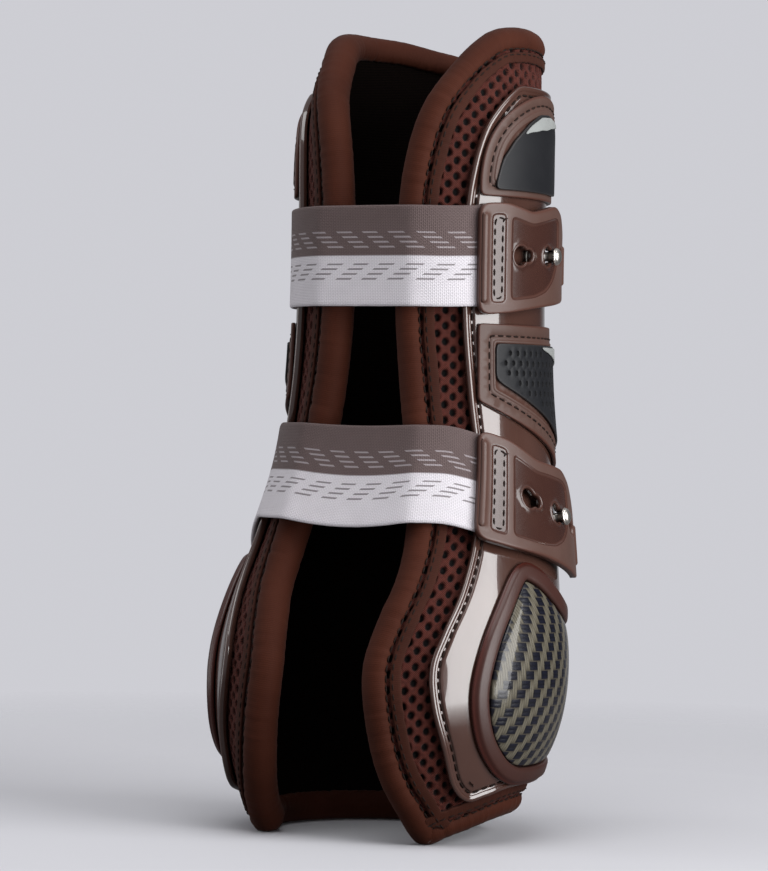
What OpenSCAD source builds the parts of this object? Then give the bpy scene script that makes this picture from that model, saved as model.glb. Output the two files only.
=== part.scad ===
// Open-front tendon boot for one horse's leg, standing upright.
// +Z runs up the leg, -Y is the open front, +Y the tendon side, +X the outer side with the tabs.
// The origin is on the ground under the middle of the leg.
//
// Every layer lies on one leg surface. A place on it is an angle round the leg, from the open
// front (0) by the outer side (90) to the back (180), and a distance up its slope. A depth is
// measured outward from the outer face of the padding, so the padding has negative depths.

/* [Boot] */
// Height of the whole boot
boot_height = 250; // [235:1:265]
// Radius round the cannon bone, at the outer face of the padding
cannon_radius = 36.5; // [35:0.5:40]
// Radius round the fetlock, at the outer face of the padding
fetlock_radius = 50.5; // [49:0.5:54]

/* [Padding] */
// Thickness of the black inner lining
lining_t = 1.1; // [0.8:0.1:1.3]
// Thickness of the foam core
foam_t = 5; // [4.6:0.1:5]
// Thickness of the spacer mesh
mesh_t = 1.5; // [1.2:0.1:1.5]
// Half width of the padded roll that binds the edge
roll_half = 5.5; // [5.3:0.1:5.7]
// Width of the tape sewn inside the roll
trim_width = 3.4; // [3:0.1:3.6]

/* [Shell] */
// Thickness of the moulded shell
shell_t = 1.8; // [1.6:0.1:2.2]
// Distance the shell's edge is drawn back from its usual line
shell_inset = 0; // [0:0.1:1]
// Height of the bead round the shell's edge
bead_rise = 0.5; // [0.3:0.1:0.6]
// Thickness of the overlays and of the strike pad's frame
overlay_t = 1.1; // [0.8:0.1:1.3]
// Thickness of the rubber inserts
insert_t = 0.7; // [0.5:0.1:1]
// How far the strike pad's middle bulges
pad_bulge = 2.5; // [1.5:0.1:3]

/* [Straps] */
// Width of the elastic straps
strap_width = 30.5; // [28:0.5:32]
// Thickness of the elastic straps
strap_t = 1.3; // [1:0.1:1.4]
// Thickness of the tabs
tab_t = 2; // [1.6:0.1:2.2]
// Distance between neighbouring keyholes
hole_pitch = 15; // [14.5:0.1:15.5]
// Diameter of a keyhole's wide end
hole_wide = 6; // [5.8:0.1:6.4]
// Diameter of a keyhole's narrow end
hole_narrow = 3.8; // [3.6:0.1:4.2]
// Diameter of a stud's head
head_d = 5.4; // [5:0.1:5.6]
// Diameter of a stud's neck
neck_d = 3; // [2.6:0.1:3.1]

/* [Hidden] */
$fn = 32;

std_height = 250;                      // the height that the tables below are written for
tall = boot_height / std_height;
gap = 0.3;                             // air between a loose layer and the one under it
seat = 0.6;                            // air between the shell and the curved layer next to it
fit = 0.1;                             // air between layers that are sewn or glued together
step = 0.01;                           // small step for slopes and normals

// Side view of the leg surface: height, share of the way from cannon to fetlock radius,
// how far back the section's centre lies, and how much the front is flattened
profile = [
    [-6, -0.4, -20, 0.06], [0, 0, -20.5, 0.06], [8, 0.35, -20.5, 0.06], [21, 0.7, -20.5, 0.06],
    [37, 0.94, -19.5, 0.06], [54, 1, -17.5, 0.06], [71, 0.87, -12.5, 0.04], [91, 0.57, -6, 0.02],
    [113, 0.27, -1, 0], [138, 0.07, 0, 0], [168, 0, 0, 0], [208, 0, 0, 0], [226, -0.03, 1.5, 0],
    [241, -0.2, 6, 0], [255, -0.4, 9, 0]];

// Edge of the boot, from the back of the bottom round the front to the back of the top:
// angle, height, and how much higher it is on the outer side
edge = [
    [180, -1.5, 0], [150, -1.5, 1.5], [120, -1.5, 8], [90, -1.4, 8.5], [66, -1.5, 4],
    [48, -1.6, 0.2], [33, 10, 0], [25, 22, 0], [20, 38, 0], [18, 54, 0], [21, 68, 0],
    [25, 80, 0], [26.5, 92, 0], [25, 108, 0], [19, 132, 0], [14.5, 160, 0], [15, 190, 0],
    [18.5, 208, 0], [25, 223, 0], [34, 234, 0],
    [46, 243, 0], [61, 249, 0], [80, 251, 0], [105, 251, 0], [130, 250, 0], [155, 247, 0],
    [180, 244, 0]];

// Edge of the moulded shell, in the same way
shell_edge = [
    [180, 9.9, 0], [154, 9.7, 1.5], [123, 9.8, 8], [88, 10.1, 8.5], [72, 12, 4], [62.5, 14.3, 0.2],
    [54.8, 19, 0], [49.3, 29.2, 0], [43.8, 41.9, 0], [41.8, 53.4, 0], [44.9, 63.3, 0], [50.2, 76.3, 0],
    [53.7, 92, 0], [54, 110.7, 0], [50.4, 134.8, 0], [47.3, 160.9, 0], [47.9, 188.9, 0], [50.9, 204, 0],
    [56, 215.6, 0], [63.1, 222.9, 0], [71.2, 228.1, 0], [75.7, 230, 0], [83.1, 230.4, 0], [103.6, 230.3, 0],
    [124.5, 229.5, 0], [147.2, 226.8, 0], [180, 223.7, 0]];
bottom_corner = 5;                     // index of the edge's corner under the front
top_corner = 20;                       // index of the edge's corner at the top

// ---------- smooth curves ----------

function sum_to(list, i) = i < 0 ? 0 : list[i] + sum_to(list, i - 1);

stations = [for (p = profile)
    [p[0] * tall, cannon_radius + p[1] * (fetlock_radius - cannon_radius), p[2], p[3]]];
station_gaps = [for (i = [1:len(stations) - 1])
    norm([stations[i][0] - stations[i - 1][0], stations[i][1] - stations[i - 1][1]])];
slopes = [for (i = [0:len(stations) - 1]) sum_to(station_gaps, i - 1)];
slope_table = [for (i = [0:len(stations) - 1]) [stations[i][0], slopes[i]]];

// Distance up the slope at a height
function slope_at(height) = lookup(height * tall, slope_table);

function tangent(i) =
    let (a = max(i - 1, 0), b = min(i + 1, len(stations) - 1))
    (stations[b] - stations[a]) / (slopes[b] - slopes[a]);

// Height, radius, centre and flattening at a distance up the slope
function station(s) =
    let (below = len([for (v = slopes) if (v <= s) v]) - 1,
         i = min(max(below, 0), len(slopes) - 2),
         h = slopes[i + 1] - slopes[i],
         u = (s - slopes[i]) / h,
         u2 = u * u,
         u3 = u2 * u)
    stations[i] * (2 * u3 - 3 * u2 + 1) + tangent(i) * (h * (u3 - 2 * u2 + u))
        + stations[i + 1] * (3 * u2 - 2 * u3) + tangent(i + 1) * (h * (u3 - u2));

// Catmull-Rom point on a list of points, at a parameter from 0 to its last index
function on_curve(list, v) =
    let (last = len(list) - 1,
         i = min(floor(v), last - 1),
         u = v - i,
         p0 = list[max(i - 1, 0)],
         p1 = list[i],
         p2 = list[i + 1],
         p3 = list[min(i + 2, last)])
    (2 * p1 + (p2 - p0) * u + (2 * p0 - 5 * p1 + 4 * p2 - p3) * u * u
        + (3 * p1 - p0 - 3 * p2 + p3) * u * u * u) / 2;

function ease(x) = let (c = min(max(x, 0), 1)) c * c * (3 - 2 * c);

// ---------- the leg surface ----------

function section_point(angle, s) =
    let (q = station(s), front = max(cos(angle), 0))
    [q[1] * sin(angle), q[2] - q[1] * cos(angle) * (1 - q[3] * front), q[0]];

function outward(angle, s) =
    let (across = section_point(angle + step, s) - section_point(angle - step, s),
         up = section_point(angle, s + step) - section_point(angle, s - step),
         n = cross(across, up))
    n / norm(n);

// Point at [angle, slope distance] and a depth outward from the padding's outer face
function on_leg(place, depth) =
    section_point(place[0], place[1]) + depth * outward(place[0], place[1]);

// ---------- the boot's edge ----------

// An outline is the outer half of a closed line round the boot, from its lowest point at the
// back by the front to its highest point at the back, as [angle, slope distance, rise]. The inner
// half is its mirror image without the rise.
half_edge = [for (e = edge) [e[0], slope_at(e[1]), e[2] * tall]];
shell_half_edge = [for (e = shell_edge) [e[0], slope_at(e[1]), e[2] * tall]];

// Place on an outline at parameter v; side is 1 for the outer half, -1 for the inner half
function outline_place(list, v, side) =
    let (e = on_curve(list, v))
    [e[0], e[1] + (side > 0 ? e[2] : 0)];

// The same place moved in from the outline by a distance along the surface
function inset_place(list, v, side, inset) =
    let (last = len(list) - 1,
         here = outline_place(list, v, side),
         a = outline_place(list, max(v - step, 0), side),
         b = outline_place(list, min(v + step, last), side),
         per_degree = station(here[1])[1] * PI / 180,
         run = [(b[0] - a[0]) * per_degree, b[1] - a[1]],
         dir = run / norm(run),
         angle = here[0] + dir[1] * inset / per_degree,
         held = v <= 0 || v >= last ? 180 : min(angle, 180))
    [side > 0 ? held : 360 - held, here[1] - dir[0] * inset];

// ---------- solids from grids of points ----------

function strip(a, b, n) = [for (i = [0:n - 2]) each
    [[a + i, b + i + 1, a + i + 1], [a + i, b + i, b + i + 1]]];

function flat_list(rows) = [for (r = rows) each r];

// Closed plate between two grids of points with the same rows and columns
module plate(outer, inner) {
    rows = len(outer);
    cols = len(outer[0]);
    under = rows * cols;
    outer_faces = [for (r = [0:rows - 2]) each strip(r * cols, (r + 1) * cols, cols)];
    inner_faces = [for (f = outer_faces) [f[2] + under, f[1] + under, f[0] + under]];
    rim = concat(
        [for (c = [0:cols - 1]) c],
        [for (r = [1:rows - 1]) r * cols + cols - 1],
        [for (c = [cols - 2:-1:0]) (rows - 1) * cols + c],
        [for (r = [rows - 2:-1:1]) r * cols]);
    n = len(rim);
    rim_faces = [for (i = [0:n - 1]) let (a = rim[i], b = rim[(i + 1) % n]) each
        [[a, b, b + under], [a, b + under, a + under]]];
    polyhedron(concat(flat_list(outer), flat_list(inner)),
               concat(outer_faces, inner_faces, rim_faces), convexity = 8);
}

// Closed ring: rings of points, each ring the same closed outline
module loop(rings) {
    rows = len(rings);
    cols = len(rings[0]);
    faces = [for (r = [0:rows - 1], c = [0:cols - 1])
        let (a = r * cols, b = ((r + 1) % rows) * cols, d = (c + 1) % cols) each
        [[a + c, a + d, b + d], [a + c, b + d, b + c]]];
    polyhedron(flat_list(rings), faces, convexity = 8);
}

// Parameters from 0 to 1: close together near both ends, even between them
function spread(ends, n) =
    let (last = ends[len(ends) - 1])
    concat(ends, [for (i = [1:n - 1]) last + (1 - 2 * last) * i / n],
           [for (i = [len(ends) - 1:-1:0]) 1 - ends[i]]);

// ---------- the layers of the boot ----------

// Place inside the boot's outline, or inside the shell's if shaped
function side_place(v, side, inset, shaped) =
    inset_place(shaped ? shell_half_edge : half_edge, v, side, shaped ? shell_inset + inset : inset);

// Place inside it with u from the outer front edge by the back to the inner front edge, and w from
// the bottom to the top
function rim_place(u, corner, back, inset, shaped) =
    let (side = u < 0.5 ? 1 : -1,
         k = 1 - abs(2 * u - 1),
         v = corner + (back - corner) * k)
    side_place(v, side, inset, shaped);

function cover_place(u, w, inset, shaped) =
    let (last = len(edge) - 1,
         v = bottom_corner + (top_corner - bottom_corner) * w,
         low = rim_place(u, bottom_corner, 0, inset, shaped),
         high = rim_place(u, top_corner, last, inset, shaped),
         right = side_place(v, 1, inset, shaped),
         left = side_place(v, -1, inset, shaped),
         c00 = side_place(bottom_corner, 1, inset, shaped),
         c10 = side_place(bottom_corner, -1, inset, shaped),
         c01 = side_place(top_corner, 1, inset, shaped),
         c11 = side_place(top_corner, -1, inset, shaped))
    low * (1 - w) + high * w + right * (1 - u) + left * u
        - (c00 * (1 - u) + c10 * u) * (1 - w) - (c01 * (1 - u) + c11 * u) * w;

cover_u = spread([0], 26);
cover_w = spread([0, 0.03], 19);

// Even layer over the whole padding, from one depth to another. With a border, one more row all
// round reaches out to that inset; the rest is the same in every layer, so that they fit.
module layer(depth_in, depth_out, border = layer_inset) {
    us = border < layer_inset ? concat([0], cover_u, [1]) : cover_u;
    ws = border < layer_inset ? concat([0], cover_w, [1]) : cover_w;
    last_u = len(us) - 1;
    last_w = len(ws) - 1;
    function off_corner(x, k, last) = k == 0 || k == last ? x : min(max(x, 0.015), 0.985);
    function place(i, j) =
        min(i, last_u - i, j, last_w - j) > 0 || border == layer_inset
            ? cover_place(us[i], ws[j], layer_inset, false)
            : cover_place(off_corner(us[i], i, last_u), off_corner(ws[j], j, last_w), border, false);
    places = [for (j = [0:last_w]) [for (i = [0:last_u]) place(i, j)]];
    plate([for (row = places) [for (p = row) on_leg(p, depth_out)]],
          [for (row = places) [for (p = row) on_leg(p, depth_in)]]);
}

// Closed piece that follows an outline all round, with one section, a list of [inset, depth]
module edge_piece(list, section, per_span) {
    last = len(list) - 1;
    half = [for (i = [0:per_span * last]) i / per_span];
    path = concat([for (v = half) [v, 1]],
                  [for (i = [len(half) - 2:-1:1]) [half[i], -1]]);
    loop([for (p = path) [for (o = section) on_leg(inset_place(list, p[0], p[1], o[0]), o[1])]]);
}

mesh_in = -mesh_t;
foam_out = mesh_in - fit;
foam_in = foam_out - foam_t;
lining_out = foam_in - fit;
lining_in = lining_out - lining_t;
roll_depth = lining_in / 2;            // the roll's centre is halfway through the padding
roll_rise = roll_depth - lining_in + 1.5;
roll_wall = 1.2;
roll_opening = 8.5;                    // inset at which the binding's two legs end
layer_inset = 9.3;
tape_depth = 0.5;
tape_t = 0.8;
shell_in = seat;
shell_out = shell_in + shell_t;
overlay_in = shell_out + gap + fit;
overlay_out = overlay_in + overlay_t;
insert_in = overlay_out + gap;

module inner_lining() {
    color("#17130f") layer(lining_in, lining_out);
}

module foam_core() {
    color("#3a3632") layer(foam_in, foam_out, border = 3);
}

module spacer_mesh() {
    color("#5b3330") difference() {
        layer(mesh_in, 0);
        for (place = stud_places) at_place(place, mesh_in) cylinder(h = 6, d = 9, center = true);
    }
}

// Padded roll: a strip folded round the edge of the padding
module edge_binding() {
    reach = roll_opening - roll_half;
    open_out = asin(reach / roll_half);
    in_half = roll_half - roll_wall;
    in_rise = roll_rise - roll_wall;
    open_in = asin(reach / in_half);
    steps = 6;
    outer = [for (i = [0:steps])
        let (a = open_out + (-180 - 2 * open_out) * i / steps)
        [roll_half + roll_half * sin(a), roll_depth + roll_rise * cos(a)]];
    inner = [for (i = [steps:-1:0])
        let (a = open_in + (-180 - 2 * open_in) * i / steps)
        [roll_half + in_half * sin(a), roll_depth + in_rise * cos(a)]];
    color("#4a2a1c") difference() {
        edge_piece(half_edge, concat(outer, inner), 2);
        translate([-100, -100, -20]) cube([200, 200, 20]);
    }
}

module binding_tape() {
    a = layer_inset;
    b = a + trim_width;
    top = tape_depth + tape_t;
    color("#553122")
        edge_piece(half_edge, [[a, tape_depth], [b, tape_depth], [b, top], [a, top]], 2);
}

// Moulded shell, with a bead round its edge and a hole for each stud
module outer_shell() {
    us = spread([0, 0.006, 0.018, 0.024], 24);
    ws = spread([0, 0.004, 0.012, 0.016], 20);
    bead = [shell_out, shell_out + bead_rise, shell_out + bead_rise];
    function top_depth(i, j) =
        let (k = min(i, len(us) - 1 - i, j, len(ws) - 1 - j))
        k < len(bead) ? bead[k] : shell_out;
    places = [for (w = ws) [for (u = us) cover_place(u, w, 0, true)]];
    hole_h = 12;
    color("#7a4a3c") difference() {
        plate([for (j = [0:len(ws) - 1]) [for (i = [0:len(us) - 1])
                  on_leg(places[j][i], top_depth(i, j))]],
              [for (row = places) [for (p = row) on_leg(p, shell_in)]]);
        for (place = stud_places)
            at_place(place, 0) cylinder(h = hole_h, d = neck_d + 2 * fit, center = true);
    }
}

// ---------- pieces on the shell ----------

// Plate between two height curves. Columns run over a list of angles; lower and upper are
// lists with the heights at those angles.
module band(angles, lower, upper, rows, depth_in, depth_out) {
    n = len(angles) - 1;
    function place(i, j) =
        [angles[i], slope_at(lower[i]) + (slope_at(upper[i]) - slope_at(lower[i])) * j / rows];
    plate([for (j = [0:rows]) [for (i = [0:n]) on_leg(place(i, j), depth_out)]],
          [for (j = [0:rows]) [for (i = [0:n]) on_leg(place(i, j), depth_in)]]);
}

// Angles from -reach to reach about the back, close together at both ends
function back_angles(reach, n) = [for (i = [0:n]) 180 - reach * cos(180 * i / n)];

// Height at an angle from a list of [angle from the front, height], the same on both sides
function both_sides(list, angle) = lookup(180 - abs(angle - 180), list);

overlay_reach = 126;                   // how far round from the back both overlays go
overlay_base = 196;
overlay_rise = 36;                     // height of the upper overlay
overlay_dip = 17;                      // how much lower its top edge is at the back
dip_reach = 0.8;                       // share of its reach the dip takes up
shoulder_power = 4;                    // squareness and steepness of its rounded ends
shoulder_root = 0.35;

// Overlay with a straight base and a top that falls at both ends and dips at the back
module upper_overlay() {
    angles = back_angles(overlay_reach, 32);
    tops = [for (a = angles)
        let (q = min(abs(a - 180) / overlay_reach, 0.998),
             dip = overlay_dip * ease(1 - q / dip_reach))
        overlay_base + (overlay_rise - dip) * pow(1 - pow(q, shoulder_power), shoulder_root)];
    color("#6b4638")
        band(angles, [for (a = angles) overlay_base], tops, 3, overlay_in, overlay_out);
}

crest_t = 0.4;
crest_in = insert_in + insert_t + gap;
badge_low = 198;
badge_top = [[61, 200], [64, 207], [71, 213.5], [80, 219], [88, 222], [97, 222.5], [105, 221], [109, 217],
             [112, 202]];

module badge_insert() {
    angles = [for (p = badge_top) p[0]];
    color("#2f3134")
        band(angles, [for (a = angles) badge_low], [for (p = badge_top) p[1]], 3, insert_in,
             insert_in + insert_t);
}

// Pale crescent along the badge's curved upper edge
module badge_crescent() {
    count = 6;
    first = 76;
    spacing = 5;
    margin = 0.8;
    tip_height = 0.6;
    middle_height = 3.4;
    angles = [for (i = [0:count]) first + spacing * i];
    upper = [for (a = angles) lookup(a, badge_top) - margin];
    lower = [for (i = [0:count]) upper[i] - tip_height - middle_height * sin(180 * i / count)];
    color("#b9c0bb") band(angles, lower, upper, 2, crest_in, crest_in + crest_t);
}

middle_top = 157;
middle_lower = [[52, 134], [56, 132.5], [118, 114], [150, 107], [180, 105]];

module middle_overlay() {
    angles = back_angles(overlay_reach, 32);
    lower = [for (a = angles) both_sides(middle_lower, a)];
    color("#6b4638")
        band(angles, lower, [for (a = angles) middle_top], 4, overlay_in, overlay_out);
}

insert_top = 151;
insert_reach = 118;
insert_lower = [[62, 140], [66, 138], [118, 121], [150, 113.5], [180, 111.5]];

// Perforated rubber insert that wraps round the back
module perforated_insert() {
    angles = back_angles(insert_reach, 28);
    lower = [for (a = angles) both_sides(insert_lower, a)];
    color("#3a3c40")
        band(angles, lower, [for (a = angles) insert_top], 4, insert_in, insert_in + insert_t);
}

// Raised crest along the insert's upper edge, deepest at the back
module insert_crest() {
    reach = 88;
    margin = 0.6;
    tip_height = 0.6;
    back_height = 9;
    upper = insert_top - margin;
    angles = back_angles(reach, 36);
    lower = [for (a = angles) upper - tip_height - back_height * cos((a - 180) * 90 / reach)];
    color("#b9c0bb") band(angles, lower, [for (a = angles) upper], 2, crest_in, crest_in + crest_t);
}

// Outline of the strike pad's frame, written as the boot's edge is
pad_outline = [for (p = [[180, 21], [150, 20.7], [125, 20], [105, 19], [90, 18.7], [79, 19.6],
                         [69, 24], [60.5, 33], [56.8, 46], [59.5, 61], [66, 75], [71, 81.8], [77, 83.8],
                         [86, 81.6], [97, 77], [110, 72.5], [130, 69], [155, 67.5], [180, 67]])
    [p[0], slope_at(p[1]), 0]];
pad_front = 8;                         // index of the outline's foremost point
frame_width = 5.5;
frame_top = overlay_out + 1;
frame_slope = 1.2;                     // width of the slope up to the frame's flat top

// Frame round the strike pad, open in the middle
module strike_pad_frame() {
    section = [[0, overlay_in], [frame_width, overlay_in], [frame_width, frame_top],
               [frame_slope, frame_top], [0, overlay_out]];
    color("#6b4638") edge_piece(pad_outline, section, 3);
}

// Domed pad: columns join the outline's lower and upper edge, rows divide them
module strike_pad() {
    inset = frame_width + gap + 2 * fit;
    columns = 52;
    rows = 6;
    last = len(pad_outline) - 1;
    near_front = 0.02;
    function column(i) =
        let (t = cos(180 * i / columns), side = t >= 0 ? 1 : -1, k = 1 - (1 - near_front) * abs(t))
        [inset_place(pad_outline, pad_front * (1 - k), side, inset),
         inset_place(pad_outline, pad_front + (last - pad_front) * k, side, inset)];
    ends = [for (i = [0:columns]) column(i)];
    function place(i, j) = ends[i][0] + (ends[i][1] - ends[i][0]) * j / rows;
    function bulge(i, j) = pad_bulge * sqrt(sin(180 * i / columns) * sin(180 * j / rows));
    color("#28324e")
        plate([for (j = [0:rows]) [for (i = [0:columns]) on_leg(place(i, j), overlay_out + bulge(i, j))]],
              [for (j = [0:rows]) [for (i = [0:columns]) on_leg(place(i, j), overlay_in + 2 * gap)]]);
}

// ---------- straps, tabs and studs ----------

strap_in = shell_out + bead_rise + gap + fit;
strap_out = strap_in + strap_t;
tab_in = strap_out + gap;
tab_out = tab_in + tab_t;
anchor_angle = -90;                    // where the elastic leaves its sewn anchor
elastic_end = 62;
tab_start = 52;
tab_end = 124;
bend_start = 88;                       // from here the tab runs straight off the shell
stud_angle = 98;
upper_height = 177;
lower_height = 110;
flare_start = 38;                      // angle where the outer side's slopes begin
upper_tilt = 0.03;                     // rise of the upper tab, mm for each degree
outer_fall = 0.245;                    // steepest fall of the lower tab, mm for each degree
outer_fall_ease = 9;                   // degrees it takes to set in
inner_fall = 12;                       // fall of the lower strap on the inner side
inner_fall_start = 52;                 // and the angles over which it falls
inner_fall_span = 33;
pull_angle = [23, 27];                 // half of the straight pull over the front: upper, lower
tab_lift = 0.12;                       // how far a tab stands off past bend_start

// Height of the middle of the strap and tab: the lower one slopes down the flare on both sides,
// between the middle overlay and the strike pad
function strap_height(level, angle) =
    let (x = max(angle - flare_start, 0),
         inner_drop = inner_fall * ease((-angle - inner_fall_start) / inner_fall_span),
         outer_drop = outer_fall * x * x / (x + outer_fall_ease))
    level == upper_height ? level + upper_tilt * x : level - outer_drop - inner_drop;

// A strap pulls straight across the open front, between the two padded rolls
function strap_depth(level, angle, s, depth) =
    let (half = pull_angle[level == upper_height ? 0 : 1],
         r = station(s)[1] + depth)
    abs(angle) < half ? depth - r * (1 - cos(half) / cos(angle)) : depth;

// A tab leaves the shell along a straight line past bend_start
function tab_depth(angle, s, depth) =
    depth + tab_lift * (station(s)[1] + depth) * (1 / cos(max(angle - bend_start, 0)) - 1);

module elastic(level) {
    angles = concat([for (a = [anchor_angle:6:-30]) a], [for (a = [-27, -23, -12, 0, 12, 23, 27]) a],
                    [for (a = [36:5:elastic_end - 1]) a], [elastic_end]);
    rows = 4;
    function at(a, j, depth) =
        let (s = slope_at(strap_height(level, a)) + strap_width * (j / rows - 0.5))
        on_leg([a, s], strap_depth(level, a, s, depth));
    plate([for (j = [0:rows]) [for (a = angles) at(a, j, strap_out)]],
          [for (j = [0:rows]) [for (a = angles) at(a, j, strap_in)]]);
}

tab_upper_edge = [[52, 14.5], [54, 16.2], [66, 16.2], [80, 13.4], [92, 14.8], [101, 15.8], [110, 13.5],
                  [118, 8], [124, 5]];
tab_lower_edge = [[52, -16], [54, -18], [66, -17.6], [85, -16], [105, -15], [118, -14.2], [124, -12]];

stud_places = [for (level = [upper_height, lower_height])
    [stud_angle, slope_at(strap_height(level, stud_angle))]];

hole_steps = [-1, 0, 0.92];            // places of a tab's keyholes, in pitches from the stud
last_hole_lift = 4;                    // the tab stands off the shell at the last one
upper_hole_tilt = 3;
lower_hole_tilt = -16;

// Puts its children on the leg surface with their +Z outward and their +X round the leg
module at_place(place, depth) {
    n = outward(place[0], place[1]);
    translate(on_leg(place, depth)) rotate([0, acos(n[2]), atan2(n[1], n[0])]) rotate(90) children();
}

// Keyhole with its narrow end at the origin and its wide end towards the strap
module keyhole(tilt) {
    overlap = 1.1;
    offset_x = (hole_wide + hole_narrow) / 2 - overlap;
    waist = hole_narrow - 0.6;
    through = 20;
    rotate(tilt) {
        cylinder(h = through, d = hole_narrow, center = true);
        translate([-offset_x, 0, 0]) cylinder(h = through, d = hole_wide, center = true);
        translate([-offset_x / 2, 0, 0]) cube([offset_x, waist, through], center = true);
    }
}

module tab(level) {
    columns = 14;
    angles = [for (i = [0:columns]) tab_start + (tab_end - tab_start) * i / columns];
    rows = 4;
    function at(a, j, depth) =
        let (low = lookup(a, tab_lower_edge), high = lookup(a, tab_upper_edge),
             s = slope_at(strap_height(level, a)) + low + (high - low) * j / rows)
        on_leg([a, s], tab_depth(a, s, depth));
    tilt = level == upper_height ? upper_hole_tilt : lower_hole_tilt;
    radius = station(slope_at(level))[1] + tab_out;
    pitch_angle = hole_pitch / radius * 180 / PI;
    difference() {
        plate([for (j = [0:rows]) [for (a = angles) at(a, j, tab_out)]],
              [for (j = [0:rows]) [for (a = angles) at(a, j, tab_in)]]);
        for (k = hole_steps) {
            a = stud_angle + k * pitch_angle;
            lift = k > 0 ? last_hole_lift : 0;
            at_place([a, slope_at(strap_height(level, a))], tab_out + lift) keyhole(tilt);
        }
    }
}

module upper_elastic() { color("#8c8384") elastic(upper_height); }

module lower_elastic() { color("#8c8384") elastic(lower_height); }

module upper_tab() { color("#6b4638") tab(upper_height); }

module lower_tab() { color("#6b4638") tab(lower_height); }

// Stud: neck through the shell, shoulder on it and a domed head outside the tab
module stud(place) {
    head_base = tab_depth(stud_angle, place[1], tab_out) + gap + 0.4;
    head_rise = 1.9;
    start = 0.1;
    shoulder_d = neck_d + 3.2;
    shoulder_t = 1;
    dome_r = (head_d * head_d / 4 + head_rise * head_rise) / (2 * head_rise);
    at_place(place, 0) rotate_extrude($fn = 28) {
        translate([0, start]) square([neck_d / 2, head_base + start]);
        translate([0, shell_out + fit]) square([shoulder_d / 2, shoulder_t]);
        translate([0, head_base]) intersection() {
            square([head_d / 2, head_rise]);
            translate([0, head_rise - dome_r]) circle(r = dome_r);
        }
    }
}

module studs() {
    color("#c9c6c0") for (place = stud_places) stud(place);
}

// Washer that backs each stud on the inside of the shell
module stud_washers() {
    washer_t = 0.7;
    washer_d = 8;
    color("#a8a5a0")
        for (place = stud_places) at_place(place, -washer_t) cylinder(h = washer_t, d = washer_d);
}

module anchor_patch(level) {
    columns = 5;
    spacing = 4;
    front_margin = 2;
    side_margin = 1;
    cover_t = 0.5;                     // how far it stands above the strap
    angles = [for (i = [0:columns]) anchor_angle - front_margin - spacing * i];
    half = strap_width / 2 + side_margin;
    middle = slope_at(strap_height(level, anchor_angle));
    rows = 3;
    function at(a, j, depth) = on_leg([a, middle + half * (2 * j / rows - 1)], depth);
    plate([for (j = [0:rows]) [for (i = [columns:-1:0]) at(angles[i], j, strap_out + cover_t)]],
          [for (j = [0:rows]) [for (i = [columns:-1:0]) at(angles[i], j, shell_out + gap)]]);
}

module upper_anchor_patch() { color("#6b4638") anchor_patch(upper_height); }

module lower_anchor_patch() { color("#6b4638") anchor_patch(lower_height); }

inner_lining();
foam_core();
spacer_mesh();
edge_binding();
binding_tape();
outer_shell();
upper_overlay();
badge_insert();
badge_crescent();
middle_overlay();
perforated_insert();
insert_crest();
strike_pad_frame();
strike_pad();
upper_elastic();
lower_elastic();
upper_tab();
lower_tab();
studs();
stud_washers();
upper_anchor_patch();
lower_anchor_patch();
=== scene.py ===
"""Looks of the open-front tendon boot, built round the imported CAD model.

Lengths in the tables are millimetres, and become metres when a mesh is made. Every layer lies on
one leg surface: a place on it is an angle round the leg, from the open front (0) by the outer
side (90) to the back (180), and a distance up its slope. A depth is measured outward from the
outer face of the padding.
"""

import bmesh
import bpy
import numpy as np
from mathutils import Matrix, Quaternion, Vector
from mathutils.geometry import delaunay_2d_cdt


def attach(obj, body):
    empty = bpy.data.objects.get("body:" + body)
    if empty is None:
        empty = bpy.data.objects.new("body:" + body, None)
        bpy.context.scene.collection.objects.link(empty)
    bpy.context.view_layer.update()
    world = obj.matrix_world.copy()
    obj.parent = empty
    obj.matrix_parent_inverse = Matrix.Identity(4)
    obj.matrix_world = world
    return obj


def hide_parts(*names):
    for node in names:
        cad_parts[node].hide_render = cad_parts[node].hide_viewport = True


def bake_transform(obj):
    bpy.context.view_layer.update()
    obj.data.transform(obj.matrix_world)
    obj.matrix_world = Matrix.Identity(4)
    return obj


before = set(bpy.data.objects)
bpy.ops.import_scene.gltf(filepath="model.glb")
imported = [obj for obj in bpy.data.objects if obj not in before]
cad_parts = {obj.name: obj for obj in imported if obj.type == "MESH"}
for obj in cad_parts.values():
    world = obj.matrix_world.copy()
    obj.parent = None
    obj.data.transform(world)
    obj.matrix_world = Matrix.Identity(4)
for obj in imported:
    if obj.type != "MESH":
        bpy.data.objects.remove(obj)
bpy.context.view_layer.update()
rng = np.random.default_rng(11)
MM = 0.001

# ---------- the leg surface, as in the CAD source ----------

CANNON_RADIUS = 36.5
FETLOCK_RADIUS = 50.5
# height, share of the way from cannon to fetlock radius, centre's place, flattening of the front
PROFILE = np.array([
    [-6, -0.4, -20, 0.06], [0, 0, -20.5, 0.06], [8, 0.35, -20.5, 0.06], [21, 0.7, -20.5, 0.06],
    [37, 0.94, -19.5, 0.06], [54, 1, -17.5, 0.06], [71, 0.87, -12.5, 0.04], [91, 0.57, -6, 0.02],
    [113, 0.27, -1, 0], [138, 0.07, 0, 0], [168, 0, 0, 0], [208, 0, 0, 0], [226, -0.03, 1.5, 0],
    [241, -0.2, 6, 0], [255, -0.4, 9, 0]])
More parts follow.
